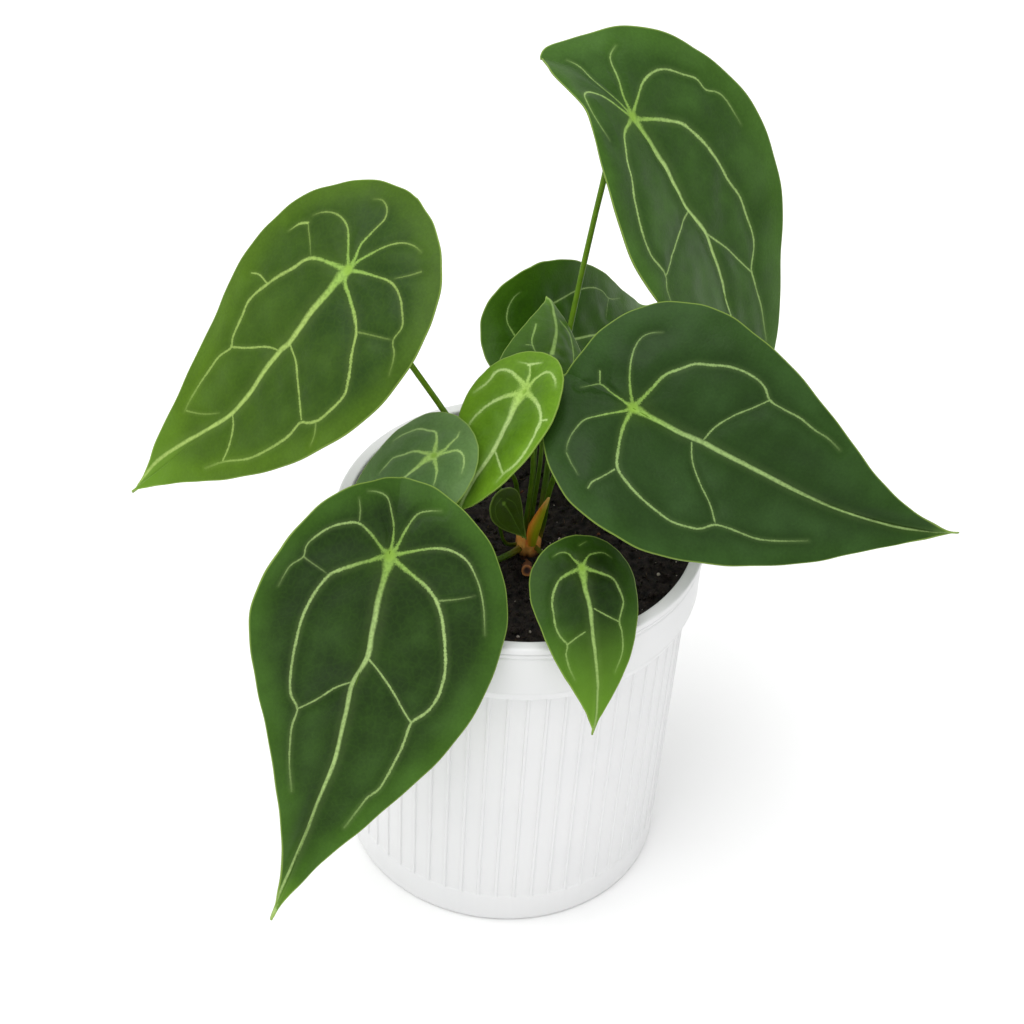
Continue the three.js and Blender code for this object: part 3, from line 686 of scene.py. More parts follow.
LEAVES = [
    grown_leaf("leaf_left", "leaf_green", at=(-56.5, -4, 234.5), heading=214, slope=-49, roll=-8,
        front=106.5, back=29.5, left=38, right=34, round=0.6, taper=1.37, droop=18, hang=27, sweep=-29,
        twist=-4.5, fold=4, curl_left=11, curl_right=10, drift=2.5, lift=5.5, wave=0.7, waves=5, phase=0.4,
        stalk=0.95, grid=(210, 120), dark=(37, 62, 15), light=(70, 100, 14), pale_tip=0.8, tip_from=0.7,
        vein_size=0.95, pale_side=-1, vein=(149, 175, 91), edge=((28, 1.1, 16), (92, 1.4, 26),
        (135, -0.6, 16), (232, 3.0, 26), (275, 1.6, 20), (316, -0.7, 16), (342, 1.0, 12)),
        route=((0.6, 5.6, 127), (-1.8, 5.2, 133), (-27.4, 0, 180.8), (-43, -3, 210)), veins="""
        midrib 348,270 330,291 309,316 290,343 279,351 259,381 233,413 209,429 185,442 158,460 142,476
        130,493 loop 346,282 350,300 356,332 352,355 349,380 345,395 335,407 320,420 308,423 302,422 290,435
        272,447 250,458 222,462 205,468 link 291,345 297,365 299,390 302,420 faint 317,423 316,435 312,446
        link 233,414 234,425 229,445 222,461 loop 348,268 313,259 290,270 268,284 250,300 241,318 233,340
        232,347 220,356 207,375 198,388 190,402 186,411 link 232,347 250,348 268,347 279,351
        link 268,284 260,275 252,273 faint 188,411 204,414 220,413 outer 354,271 375,276 393,284 400,297
        402,312 402,327 393,341 395,355 390,375 faint 357,332 375,336 392,340 outer 358,262 380,250 402,244
        415,247 422,253 faint 421,272 408,276 395,279 outer 356,258 362,244 375,230 385,219 387,208 382,200
        374,199 outer 348,262 348,228 342,218 333,213 322,213 314,216 outer 309,223 300,224 289,231
        faint 309,225 311,242 313,258"""),
    grown_leaf("leaf_top", "leaf_green", at=(26, 65, 248.5), heading=342, slope=-50, roll=0, front=120.5,
        back=34, left=42, right=41, round=0.85, taper=1.15, droop=27, hang=54, sweep=-2, twist=1, fold=11,
        curl_left=-16, curl_right=24, drift=-1, lift=2, wave=0.6, waves=4, phase=2.0, stalk=0.95,
        grid=(210, 120), dark=(42, 70, 21), light=(62, 98, 24), haze=0.3, pale_tip=0.15, vein_size=0.9,
        vein=(160, 190, 112), edge=((12, 2.5, 10), (48, 3.0, 28), (84, 1.6, 16), (112, -0.8, 14),
        (135, 1.4, 14), (280, 1.2, 10), (305, -3.2, 20), (322, -3.8, 15)), route=((5.6, 5.6, 127),
        (6.6, 9, 134), (9.5, 35, 164.5), (13.5, 51.5, 190), (17, 60.5, 212), (19.4, 64, 228)), veins="""
        midrib 632,117 648,140 664,164 677,190 687,210 704,233 714,260 724,288 731,318
        loop 637,119 664,120 682,125 700,140 712,155 727,178 740,197 750,225 754,245 752,271 755,285 761,305
        767,340 link 704,233 730,252 752,272 outer 634,106 643,82 655,71 668,69 685,74 697,79 705,90 715,92
        725,100 740,125 outer 622,96 616,75 610,57 616,45 outer 619,104 600,88 588,75 581,68 567,61
        outer 624,113 600,97 587,93 584,97 600,125 610,140 loop 628,124 624,135 626,155 631,180 635,205
        642,235 650,255 664,276 665,290 671,308 link 687,213 680,228 673,252 665,275"""),
    grown_leaf("leaf_right", "leaf_dark", at=(32, -4, 188.5), heading=342, slope=-19.5, roll=34.5,
        front=116, back=21.5, left=39, right=41.5, round=0.52, taper=1.57, skew=0.1, droop=24, hang=23,
        sweep=10, twist=11, fold=19, curl_left=10, curl_right=5, drift=12, lift=-0.5, wave=0.7, waves=5,
        phase=1.2, stalk=0.95, grid=(210, 120), dark=(33, 57, 18), light=(42, 73, 19), haze=0.24,
        pale_tip=0.0, tip_from=0.9, vein_size=0.76, vein=(143, 171, 103), edge=((105, 2.8, 32),
        (146, 2.2, 14), (228, -2.2, 22), (265, -1.4, 24), (318, 1.6, 12), (348, 3.0, 18)),
        route=((6.2, 1.6, 127), (7.2, 1.4, 134), (8.8, 1, 150), (15, 1, 170)), veins="""
        midrib 633,408 660,422 680,433 702,442 720,452 750,467 787,486 815,500 842,511 870,520 900,528
        935,532 961,532 loop 636,405 650,390 665,375 680,369 695,364 712,365 726,366 740,370 755,378 765,388
        770,400 783,409 800,418 815,430 828,438 840,450 link 703,440 715,427 735,415 755,407 770,400
        outer 633,405 630,385 631,362 636,345 642,337 650,333 663,332 outer 628,405 612,393 600,384 581,388
        link 600,384 600,371 outer 625,411 600,416 585,420 575,430 568,442 566,452
        faint 566,452 571,463 578,475 loop 630,413 622,430 618,450 617,468 628,485 640,498 655,510 672,522
        687,527 700,529 715,525 730,529 745,535 757,539 775,541 808,541 link 691,443 692,462 700,485 710,505
        715,522 link 614,470 600,478 592,482 588,488"""),
    grown_leaf("leaf_front", "leaf_dark", at=(-39, -52, 164.5), heading=250.5, slope=-63, roll=-33,
        front=124.5, back=24, left=40, right=39.5, round=0.66, taper=1.65, skew=-0.1, droop=1, hang=29,
        sweep=-11.5, twist=0, fold=16.5, curl_left=7.5, curl_right=12.5, drift=0, lift=1, wave=0.7, waves=5,
        phase=0, stalk=0.95, grid=(210, 120), dark=(30, 51, 14), light=(63, 101, 24), haze=0.22,
        vein_size=0.92, vein=(162, 190, 116), edge=((100, 1.3, 26), (210, 1.0, 14), (234, 1.1, 14),
        (290, 1.6, 18)), route=((0.6, -1.4, 124.6), (-2.2, -5.2, 125.4), (-8, -12, 127.5), (-18, -23, 134),
        (-28, -36, 147)), veins="""
        midrib 389,555 384,575 378,600 372,630 367,657 352,685 345,715 334,760 318,800 305,835 292,865
        281,890 270,918 loop 382,557 360,563 345,568 330,575 315,592 305,610 298,632 293,655 290,680 291,695
        297,708 292,725 290,740 289,765 291,790 link 353,682 335,688 318,698 298,708
        loop 398,563 413,575 425,585 437,602 443,625 445,650 444,675 437,697 425,712 412,722 405,740 397,758
        388,775 378,790 368,797 358,810 345,828 link 368,658 378,670 392,690 405,713 411,722
        outer 400,554 420,550 437,548 455,552 468,562 475,575 480,588 484,610 485,635
        faint 440,601 458,599 475,596 outer 397,548 407,528 418,514 430,511 441,511
        outer 392,548 394,530 391,510 387,497 378,492 368,491 outer 383,550 370,533 358,523 345,523 330,527
        315,536 306,545 303,556 290,565 278,585 faint 303,556 315,565 327,574
        faint 359,520 360,510 359,498"""),
    grown_leaf("leaf_front_small", "leaf_green", at=(19.5, -41, 154.5), heading=288.5, slope=-34.5,
        roll=-10, front=51, back=10.5, left=18, right=18, round=0.52, taper=1.27, droop=18, hang=15.5,
        sweep=1, twist=0, fold=0.5, curl_left=15, curl_right=22.5, drift=-4.5, lift=-1, wave=0.35, waves=4,
        phase=1, stalk=0.75, grid=(120, 76), dark=(23, 42, 9), light=(50, 84, 16), pale_tip=0.6,
        tip_from=0.3, vein_size=0.72, vein=(141, 170, 95), edge=((118, 1.2, 24), (165, 0.8, 16),
        (250, 1.0, 20)), route=((5, -1.2, 125.4), (7, -5, 126.6), (12, -17, 134), (17, -31, 146)), veins="""
        midrib 582,568 585,590 590,610 592,630 595,655 597,680 597,700 596,715 591,735
        loop 580,570 570,573 560,579 555,588 552,600 553,612 555,625 560,637 567,645 566,655 570,670 575,680
        loop 586,569 600,573 612,579 618,588 623,602 621,612 619,621 621,632 622,650 615,672
        link 567,645 576,638 585,632 link 594,609 605,615 619,622 outer 579,564 572,558 568,554 560,553
        553,557 outer 583,563 588,556 592,554 603,553 611,558 faint 579,546 586,542"""),
    grown_leaf("leaf_young", "leaf_young", at=(-1.5, -4, 192), heading=237.5, slope=-34.5, roll=14,
        front=41.5, back=14, left=16.5, right=16.5, round=0.51, taper=0.77, droop=11, hang=12, sweep=-1,
        twist=-3, fold=13, curl_left=13, curl_right=7.5, drift=-1, lift=0.5, wave=0.3, waves=4, phase=0.5,
        stalk=0.75, grid=(120, 76), dark=(76, 114, 20), light=(104, 144, 32), haze=0.1, pale_tip=0.3,
        tip_from=0.8, vein_size=1.08, vein=(182, 208, 134), heart=(168, 202, 100), edge=((290, 0.6, 20),),
        route=((1.4, -0.6, 127.5), (1.6, -0.8, 134), (2.6, -1.8, 160), (1.4, -3, 176)), veins="""
        midrib 524,392 519,400 507,425 495,449 485,465 476,478 469,489 462,511 outer 529,388 530,372 529,365
        519,362 outer 529,365 543,363 loop 524,386 518,378 511,372 503,370 497,372 490,380 486,384 475,393
        loop 530,386 536,379 543,374 550,373 555,379 556,387 loop 520,395 500,399 488,406 477,415 470,424
        468,428 loop 527,395 535,400 540,410 541,421 536,433 530,445 522,458 514,467 504,474 497,482
        link 541,421 547,420 link 495,450 499,462 503,473"""),
    # This small leaf's greens are pale and bluish-grey, with a painted sheen in them.
    grown_leaf("leaf_centre_small", "leaf_dark", at=(-28, -20, 177.5), heading=206, slope=-31, roll=-1,
        front=51, back=14, left=19, right=19, round=0.52, taper=1.14, skew=-0.1, droop=31, hang=18, sweep=0,
        twist=1, fold=0.5, curl_left=24.5, curl_right=8, drift=0.5, lift=-0.5, wave=0.4, waves=4, phase=2.4,
        stalk=0.75, grid=(110, 70), dark=(82, 112, 64), light=(98, 130, 70), vein_size=0.84,
        vein=(176, 206, 130), heart=(166, 200, 106), edge=((325, 1.0, 24),), route=((0.2, 2.2, 127.5),
        (-0.4, 2, 134), (-3, 1, 152), (-7.5, -5, 161), (-15.5, -13.5, 167)), veins="""
        midrib 436,455 425,461 414,470 404,478 loop 436,451 437,440 435,432 430,431 420,429 410,432 400,437
        394,441 loop 432,454 425,453 415,452 405,455 393,459 386,466 380,474 loop 437,459 437,472 434,488
        loop 441,454 449,452 457,451 463,455 464,464 462,474 loop 442,452 450,445 457,438 460,432"""),
    grown_leaf("leaf_back", "leaf_back", at=(0, 54, 165.5), heading=31, slope=-19, roll=33, front=73.5,
        back=18.5, left=26.5, right=27, round=0.53, taper=1.13, droop=26, hang=27, sweep=34, twist=-3.5,
        fold=7, curl_left=-27, curl_right=12.5, drift=0, lift=-1, wave=0.5, waves=4, phase=0.9, stalk=0.85,
        grid=(130, 90), dark=(44, 77, 10), light=(62, 99, 14), haze=0.0, vein_size=0.65,
        edge=((40, -0.8, 16), (105, 1.8, 35)), route=((3, 6.6, 127), (3, 8.5, 134), (3, 22, 147),
        (2, 40, 156)), veins="""
        outer 553,303 575,291 590,288 601,291 608,298 620,298 faint 608,298 607,308 606,318
        outer 514,335 507,322 508,308 514,297 520,292 midrib 540,342 560,340 575,339 590,336 603,333"""),
    grown_leaf("leaf_upturned", "leaf_back", at=(4.5, 10.5, 183.5), heading=81, slope=8.5, roll=16,
        front=45, back=11.5, left=16.5, right=16.5, round=0.5, taper=1.18, droop=21, hang=15, sweep=1,
        twist=-1, fold=-14, curl_left=16.5, curl_right=19.5, drift=5.5, lift=-0.5, wave=0.3, waves=4,
        phase=0, stalk=0.7, grid=(110, 70), dark=(46, 75, 15), light=(62, 97, 19), haze=0.1, vein_size=0.6,
        vein=(136, 166, 90), route=((3.3, 3.4, 127.5), (3.5, 3.8, 134), (5, 7, 160)), veins="""
        midrib 552,354 554,345 556,330 554,315 550,302 544,297 538,297 loop 560,322 568,332 572,345 573,360
        571,378 566,381 loop 536,325 532,340 533,348 537,355 link 526,346 533,346"""),
    grown_leaf("leaf_tiny", "leaf_dark", at=(-6, -10, 151), heading=17, slope=-65, roll=60, front=17,
        back=4.7, left=6.3, right=6.3, round=0.5, taper=1.17, droop=18, hang=16, sweep=0.5, twist=0, fold=7,
        curl_left=14, curl_right=13, drift=0, lift=4, wave=0.15, waves=3, phase=0, stalk=0.6, grid=(56, 36),
        dark=(50, 70, 7), light=(66, 92, 11), haze=0.0, vein_size=0.22, heart=(92, 124, 40),
        route=((0.2, 1.6, 123.6), (-2.6, -0.6, 124.8), (-5, -4, 129.5), (-7.4, -5.4, 141)),
        vein=(92, 122, 44), veins="""
        midrib 503,500 510,513 518,528 524,537 loop 501,498 495,507 497,519 509,530
        loop 506,498 514,503 519,515"""),
]


def turned_about(axis, angle, vector):
    """A vector turned about unit axes by angles, row by row."""
    cosine, sine = np.cos(angle)[:, None], np.sin(angle)[:, None]
    return vector * cosine + np.cross(axis, vector) * sine + axis * (axis @ vector)[:, None] * (1 - cosine)


def blade_places(leaf, along, across, height=0.0):
    """Places on a blade in metres, from millimetres along its midrib, to its left and above it."""
    front_turn = np.radians((leaf["twist"], leaf["droop"], leaf["sweep"])) / leaf["front"]
    back_turn = np.radians((0, leaf["hang"], 0)) / leaf["back"]
    turn = np.where(along[:, None] > 0, front_turn, back_turn)
    rate = np.linalg.norm(turn, axis=1)
    axis = turn / rate[:, None]
    angle = rate * along
    forward = np.array((1.0, 0.0, 0.0))
    steady = axis * axis[:, :1]
    local = steady * along[:, None] + (forward - steady) * (np.sin(angle) / rate)[:, None]
    local += np.cross(axis, forward) * ((1 - np.cos(angle)) / rate)[:, None]
    fold = math.radians(leaf["fold"])
    curl = np.radians(np.where(across > 0, leaf["curl_left"], leaf["curl_right"]))
    curl = curl / ((leaf["left"] + leaf["right"]) / 2)
    reach = np.abs(across)
    tip = np.clip(along / leaf["front"], 0, 1) ** 3
    sideways = np.sign(across) * (math.sin(fold) - np.sin(fold - curl * reach)) / curl
    rise = (np.cos(fold - curl * reach) - math.cos(fold)) / curl
    leftwards = turned_about(axis, angle, np.array((0.0, 1.0, 0.0)))
    upwards = turned_about(axis, angle, np.array((0.0, 0.0, 1.0)))
    local += leftwards * (sideways + leaf["drift"] * tip)[:, None]
    local += upwards * (rise + leaf["lift"] * tip + height)[:, None]
    heading, slope, roll = (math.radians(leaf[name]) for name in ("heading", "slope", "roll"))
    midrib = np.array((math.cos(heading) * math.cos(slope), math.sin(heading) * math.cos(slope),
                       math.sin(slope)))
    level = np.array((-math.sin(heading), math.cos(heading), 0))
    left = math.cos(roll) * level + math.sin(roll) * np.cross(midrib, level)
    return (local @ np.stack((midrib, left, np.cross(midrib, left))) + np.array(leaf["at"])) * MM


def half_width(leaf, share, side):
    """The blade's half-width at a share of its length from the round end, on its left (1) or right (-1)."""
    rise, fall = leaf["round"], leaf["taper"] + side * leaf["skew"]
    widest = rise / (rise + fall)
    full = np.where(side > 0, leaf["left"], leaf["right"])
    return full * (share / widest) ** rise * ((1 - share) / (1 - widest)) ** fall


def blade_margin(leaf, along, across):
    """How far out each place is, 0 at the petiole point to 1 on the edge, and the turn round the outline."""
    turns = np.linspace(0, 2 * math.pi, 1441)
    side = np.where(turns < math.pi, 1, -1)
    share = (1 - np.cos(turns)) / 2
    edge_along = share * (leaf["front"] + leaf["back"]) - leaf["back"]
    edge_across = side * half_width(leaf, share, side)
    bearing = np.unwrap(np.arctan2(edge_across, edge_along))[::-1]
    here = np.arctan2(across, along)
    turn = np.interp(here, bearing, turns[::-1])
    reach = np.interp(here, bearing, np.hypot(edge_along, edge_across)[::-1])
    return np.hypot(along, across) / reach, turn


def uneven_edge(leaf, outward, turn):
    """How many millimetres the blade reaches further out, as a grown edge that is nowhere quite even."""
    shift = 0.16 * np.sin(9 * turn + 5 * leaf["phase"]) + 0.12 * np.sin(17 * turn + 3)
    shift = (shift + 0.1 * np.sin(31 * turn)) * leaf["front"] / FULL_FRONT
    for where, bulge, reach in leaf["edge"]:
        aside = (np.degrees(turn) - where + 180) % 360 - 180
        shift = shift + bulge * np.exp(-(aside / reach) ** 2)
    return shift * outward ** 3


# The places on a blade that show at the photograph's pixels are found by small steps, in millimetres
NEWTON_STEPS = 6
TRIAL_STEP = 0.2
LONGEST_STEP = 2
LINES_PER_PIXEL = 8
CLOSEST_PIXEL = 2
FADE_START = 0.3
FADE_LENGTH = 0.16
BLOCK_SIZE = 1500
FAR_AWAY = 99.0


def photo_pixels(points):
    """The photograph's pixels of places in metres."""
    offset = points - camera_place
    depth = offset @ view_line
    across = PHOTO_SIZE / 2 + FOCAL_PIXELS * (offset @ photo_right) / depth
    down = PHOTO_SIZE / 2 - FOCAL_PIXELS * (offset @ photo_up) / depth
    return np.stack((across, down), axis=1)


def traced(text):
    """The veins of a text, each as its kind and its pixels."""
    veins = []
    for word in text.split():
        if "," in word:
            veins[-1][1].append([float(number) for number in word.split(",")])
        else:
            veins.append((word, []))
    return veins


def flat_places(leaf, pixels, grid_flat, grid_pixels):
    """Places on the flat blade, in millimetres along and across, that show at the photograph's pixels."""
    pixels = np.array(pixels)
    nearest = [np.argmin(np.hypot(*(grid_pixels - pixel).T)) for pixel in pixels]
    flat = grid_flat[nearest].copy()
    for _ in range(NEWTON_STEPS):
        here = photo_pixels(blade_places(leaf, *flat.T))
        ahead = photo_pixels(blade_places(leaf, flat[:, 0] + TRIAL_STEP, flat[:, 1])) - here
        aside = photo_pixels(blade_places(leaf, flat[:, 0], flat[:, 1] + TRIAL_STEP)) - here
        slopes = np.stack((ahead, aside), axis=2) / TRIAL_STEP
        step = np.linalg.solve(slopes, (pixels - here)[..., None])[..., 0]
        flat += np.clip(step, -LONGEST_STEP, LONGEST_STEP)
    share = np.clip((flat[:, 0] + leaf["back"]) / (leaf["front"] + leaf["back"]), 0.001, 0.999)
    side = np.where(flat[:, 1] > 0, 1, -1)
    room = half_width(leaf, share, side)
    flat[:, 0] = share * (leaf["front"] + leaf["back"]) - leaf["back"]
    flat[:, 1] = np.clip(flat[:, 1], -room, room)
    return flat


def vein_lines(leaf, grid_flat, grid_pixels):
    """The blade's veins as short straight lines, in layers that keep neighbouring veins apart.

    Each vein goes in the layer whose other veins lie furthest from it. Each row holds a line's start and
    end, its half-width and how strongly it shows.
    """
    layers = [np.zeros((0, 6)) for _ in VEIN_LAYERS]
    for kind, pixels in traced(leaf["veins"]):
        flat = flat_places(leaf, pixels, grid_flat, grid_pixels)
        near_petiole = np.hypot(*flat[0]) < PETIOLE_REACH * leaf["front"] / FULL_FRONT
        near_petiole = near_petiole and kind in ("midrib", "loop", "outer")
        if near_petiole:
            flat = np.vstack(((0, 0), flat[np.hypot(*flat.T) > CLOSEST_PIXEL]))
        line = course(flat, LINES_PER_PIXEL * len(pixels))
        first, last, strong, weak = VEIN_KINDS[kind]
        shares = np.linspace(0, 1, len(line) - 1)
        width = leaf["vein_size"] * (last + (first - last) * (1 - shares) ** 1.5)
        if near_petiole:
            width = width * (1 + PETIOLE_WIDENING * np.exp(-(np.hypot(*line[:-1].T) / PETIOLE_SPREAD) ** 2))
        strength = strong + (weak - strong) * shares ** 2
        if kind in ("loop", "outer", "faint"):
            strength *= np.clip(FADE_START + (1 - shares) / FADE_LENGTH, 0, 1)
        rows = np.column_stack((line[:-1], line[1:], width, strength))
        gaps = [np.inf if not len(layer) else np.linalg.norm(line[:, None] - layer[None, :, :2], axis=2)
                .min(axis=1).mean() for layer in layers]
        best = int(np.argmax(gaps))
        layers[best] = np.vstack((layers[best], rows))
    return layers


def nearest_veins(flat, lines):
    """For each place, five columns about its nearest vein.

    They are the way to it, across and along, and its distance, all as shares of its half-width, then its
    distance in millimetres, and how strongly it shows.
    """
    if not len(lines):
        return np.column_stack((np.full((len(flat), 4), FAR_AWAY), np.zeros(len(flat))))
    starts, ends, widths, strengths = lines[:, :2], lines[:, 2:4], lines[:, 4], lines[:, 5]
    runs = ends - starts
    squares = np.maximum((runs ** 2).sum(axis=1), 1e-9)
    found = []
    for block in np.array_split(flat, max(1, len(flat) // BLOCK_SIZE)):
        offset = block[:, None] - starts[None]
        share = np.clip((offset * runs).sum(axis=2) / squares, 0, 1)
        way = runs * share[..., None] - offset
        distance = np.hypot(way[..., 0], way[..., 1])
        best = np.argmin(distance / widths, axis=1)
        rows = np.arange(len(block))
        found.append(np.column_stack((way[rows, best] / widths[best, None],
                                      distance[rows, best] / widths[best],
                                      distance[rows, best], strengths[best])))
    return np.concatenate(found)


def name_values(mesh, name, values):
    """Stores a vector for each vertex."""
    attribute = mesh.attributes.new(name, "FLOAT_VECTOR", "POINT")
    attribute.data.foreach_set("vector", np.ascontiguousarray(values, dtype=np.float32).ravel())


def maths(tree, operation, first, second):
    return put(tree, "Math", {0: first, 1: second}, operation=operation)["Value"]


def stored_parts(tree, name):
    """The three numbers that a blade's mesh stores under a name."""
    vector = put(tree, "Attribute", attribute_name=name)["Vector"]
    return put(tree, "SeparateXYZ", {"Vector": vector})


def leaf_pattern():
    """The group that reads a blade's stored values: masks of its veins, margin, patches for painted light and
    shade, net and dust, and of the bulges between veins that get a painted sheen.
    """
    group = bpy.data.node_groups.new("leaf_pattern", "ShaderNodeTree")

    def ramp(value, low, high, start=1.0, end=0.0):
        return spread(group, value, low, high, start, end, "SMOOTHSTEP")

    def clouds(scale, detail):
        return grain(group, flat, scale, detail)

    def product(first, second):
        return maths(group, "MULTIPLY", first, second)

    def level(parts):
        return put(group, "CombineXYZ", {"X": parts["X"], "Y": parts["Y"]})["Vector"]

    def length(vector):
        return put(group, "VectorMath", {0: vector}, operation="LENGTH")["Value"]

    place = stored_parts(group, "blade_place")
    flat = level(place)
    coarse_fray = ramp(clouds(0.3, 1), 0.3, 0.7, -0.14, 0.14)
    fray = maths(group, "ADD", ramp(clouds(2.6, 3), 0.25, 0.75, -0.4, 0.4), coarse_fray)
    shows = stored_parts(group, "vein_show")
    vein, near = None, None
    for name, axis in zip(VEIN_LAYERS, "XYZ"):
        parts = stored_parts(group, name)
        rough = product(fray, ramp(shows[axis], 0.92, 0.97, 1, 0.3))
        core = ramp(maths(group, "ADD", length(level(parts)), rough), 0.35, 1.25)
        core = product(product(core, ramp(parts["Z"], 1.9, 2.6)), shows[axis])
        vein = core if vein is None else maths(group, "MAXIMUM", vein, core)
        near = parts["Z"] if near is None else maths(group, "MINIMUM", near, parts["Z"])
    group.interface.new_socket("Size", in_out="INPUT", socket_type="NodeSocketFloat")
    far = maths(group, "DIVIDE", length(flat), group.nodes.new("NodeGroupInput").outputs["Size"])
    net = put(group, "TexVoronoi", {"Vector": flat, "Scale": 0.42}, feature="DISTANCE_TO_EDGE")
    dust = put(group, "TexVoronoi", {"Vector": flat, "Scale": 0.12})
    chosen = put(group, "SeparateColor", {"Color": dust["Color"]})["Red"]
    masks = {"Vein": product(vein, ramp(clouds(0.9, 4), 0.34, 0.58, 0.7, 1.0)), "Glow": ramp(near, 0.6, 4.5),
             "Margin": ramp(place["Z"], 0.1, 0.5), "Bulge": ramp(near, 4, 13, 0, 1), "Patch": clouds(0.13, 4),
             "Pale": ramp(place["Z"], 0.5, 11), "Heart": ramp(far, 2, 22), "Petiole": ramp(far, 0.9, 2.6),
             "Mottle": clouds(0.05, 4), "Fine": clouds(1.1, 3), "Net": ramp(net["Distance"], 0, 0.16),
             "Dust": product(ramp(dust["Distance"], 0.008, 0.02), ramp(chosen, 0.62, 0.66, 0, 1))}
    ends = group.nodes.new("NodeGroupOutput")
    for name, socket in masks.items():
        group.interface.new_socket(name, in_out="OUTPUT", socket_type="NodeSocketFloat")
        group.links.new(socket, ends.inputs[name])
    return group


pattern = leaf_pattern()


def blade_material(name, leaf, dark, light, painted_sheen_green, roughness, vein_share):
    """A blade's skin on one side."""
    material, tree = surface(name)
    marks = put(tree, "Group", {"Size": 0.3 + 0.7 * leaf["front"] / FULL_FRONT}, node_tree=pattern)
    place = stored_parts(tree, "blade_place")

    def ranged(value, low, high, start, end):
        return spread(tree, value, low, high, start, end)

    def times(mask, share):
        return maths(tree, "MULTIPLY", marks[mask], share)

    def total(first, *others):
        for other in others:
            first = maths(tree, "ADD", first, other)
        return first

    def laid_over(colour, mask, share, other):
        return blend(tree, times(mask, share), colour, other)

    front, left_reach = leaf["front"], leaf["left"] * leaf["pale_side"]
    paleness = total(times("Pale", 0.55), ranged(marks["Mottle"], 0.4, 0.66, -0.05, 0.13),
                     ranged(place["X"], front * 0.1, front * 0.9, 0, leaf["pale_tip"]))
    if left_reach:
        paleness = total(paleness, ranged(place["Y"], left_reach * -0.1, left_reach * 0.9, 0, 0.3))
    green = laid_over(blend(tree, paleness, dark, light), "Net", 0.08, light)
    # Painted sheen: in cloudy patches on the bulges between the veins, the green is lightened and greyed, as
    # a soft reflection of the lamps would do.
    painted_sheen = maths(tree, "MULTIPLY", marks["Bulge"], ranged(marks["Mottle"], 0.38, 0.64, 0.0, leaf["haze"]))
    green = blend(tree, painted_sheen, green, painted_sheen_green)
    # Painted light and shade: the blade's brightness goes up and down in fine and broad patches, partly its
    # own uneven tone, partly the light and shade of its puckered surface.
    painted_shading = maths(tree, "MULTIPLY", ranged(marks["Fine"], 0.3, 0.7, 0.92, 1.08),
                  ranged(marks["Patch"], 0.34, 0.66, 0.93, 1.07))
    green = put(tree, "HueSaturation", {"Color": green, "Value": painted_shading})["Color"]
    green = blend(tree, ranged(place["X"], front * leaf["tip_from"], front * 1.02, 0, 0.75), green, TIP_GREEN)
    vein_green = blend(tree, marks["Heart"], screen(*leaf["vein"]), screen(*leaf["heart"]))
    tint = laid_over(green, "Glow", 0.06, vein_green)
    tint = laid_over(tint, "Vein", vein_share, vein_green)
    tint = laid_over(tint, "Petiole", 0.8, PETIOLE_GREEN)
    tint = laid_over(tint, "Margin", 0.7, MARGIN_GREEN)
    tint = laid_over(tint, "Dust", 0.6, DUST_GREY)
    rough = total(ranged(marks["Mottle"], 0.3, 0.7, roughness - 0.08, roughness + 0.08), times("Vein", 0.1))
    relief = total(times("Net", -0.22), times("Fine", 0.5), times("Vein", 0.6))
    finish(tree, {"Base Color": tint, "Roughness": rough, "Specular IOR Level": 0.125,
                  "Normal": bumped(tree, relief, strength=0.2, distance=0.4)})
    return material


stalk_material, stalk_tree = surface("green_stalk")
stalk_where = put(stalk_tree, "TexCoord")["Object"]
stalk_height = put(stalk_tree, "SeparateXYZ", {"Vector": stalk_where})["Z"]
stalk_along = put(stalk_tree, "Attribute", attribute_name="along")["Fac"]
stalk_streaks = grain(stalk_tree, stalk_where, scale=240, detail=4)
# Painted shade: the stalks darken from 175 mm high down to 130 mm, for the shade under the leaves. Their feet
# turn tan.
stalk_painted_shade = spread(stalk_tree, stalk_height, 0.13, 0.175, 0.6, 0)
stalk_foot = spread(stalk_tree, stalk_along, 0.02, 0.1, 0.6, 0)
stalk_tint = blend(stalk_tree, stalk_streaks, screen(62, 98, 12), screen(108, 142, 24))
stalk_tint = blend(stalk_tree, stalk_painted_shade, stalk_tint, screen(46, 70, 16))
stalk_tint = blend(stalk_tree, stalk_foot, stalk_tint, screen(140, 112, 40))
finish(stalk_tree, {"Base Color": stalk_tint, "Roughness": 0.42, "Specular IOR Level": 0.18,
                    "Normal": bumped(stalk_tree, stalk_streaks, strength=0.25, distance=0.3)})


def flat_blade(leaf):
    """A bmesh of the blade laid flat, in millimetres, whose rows of faces crowd towards its two ends."""
    bm = bmesh.new()
    columns, rows = leaf["grid"]
    bmesh.ops.create_grid(bm, x_segments=columns, y_segments=rows, size=0.5)
    for place in bm.verts:
        share = min(1, max(0, (1 - math.cos(math.pi * (place.co.x + 0.5))) / 2))
        across = 2 * place.co.y
        place.co.y = across * float(half_width(leaf, share, 1 if across > 0 else -1))
        place.co.x = share * (leaf["front"] + leaf["back"]) - leaf["back"]
        place.co.z = 0
    bmesh.ops.remove_doubles(bm, verts=bm.verts, dist=1e-4)
    return bm


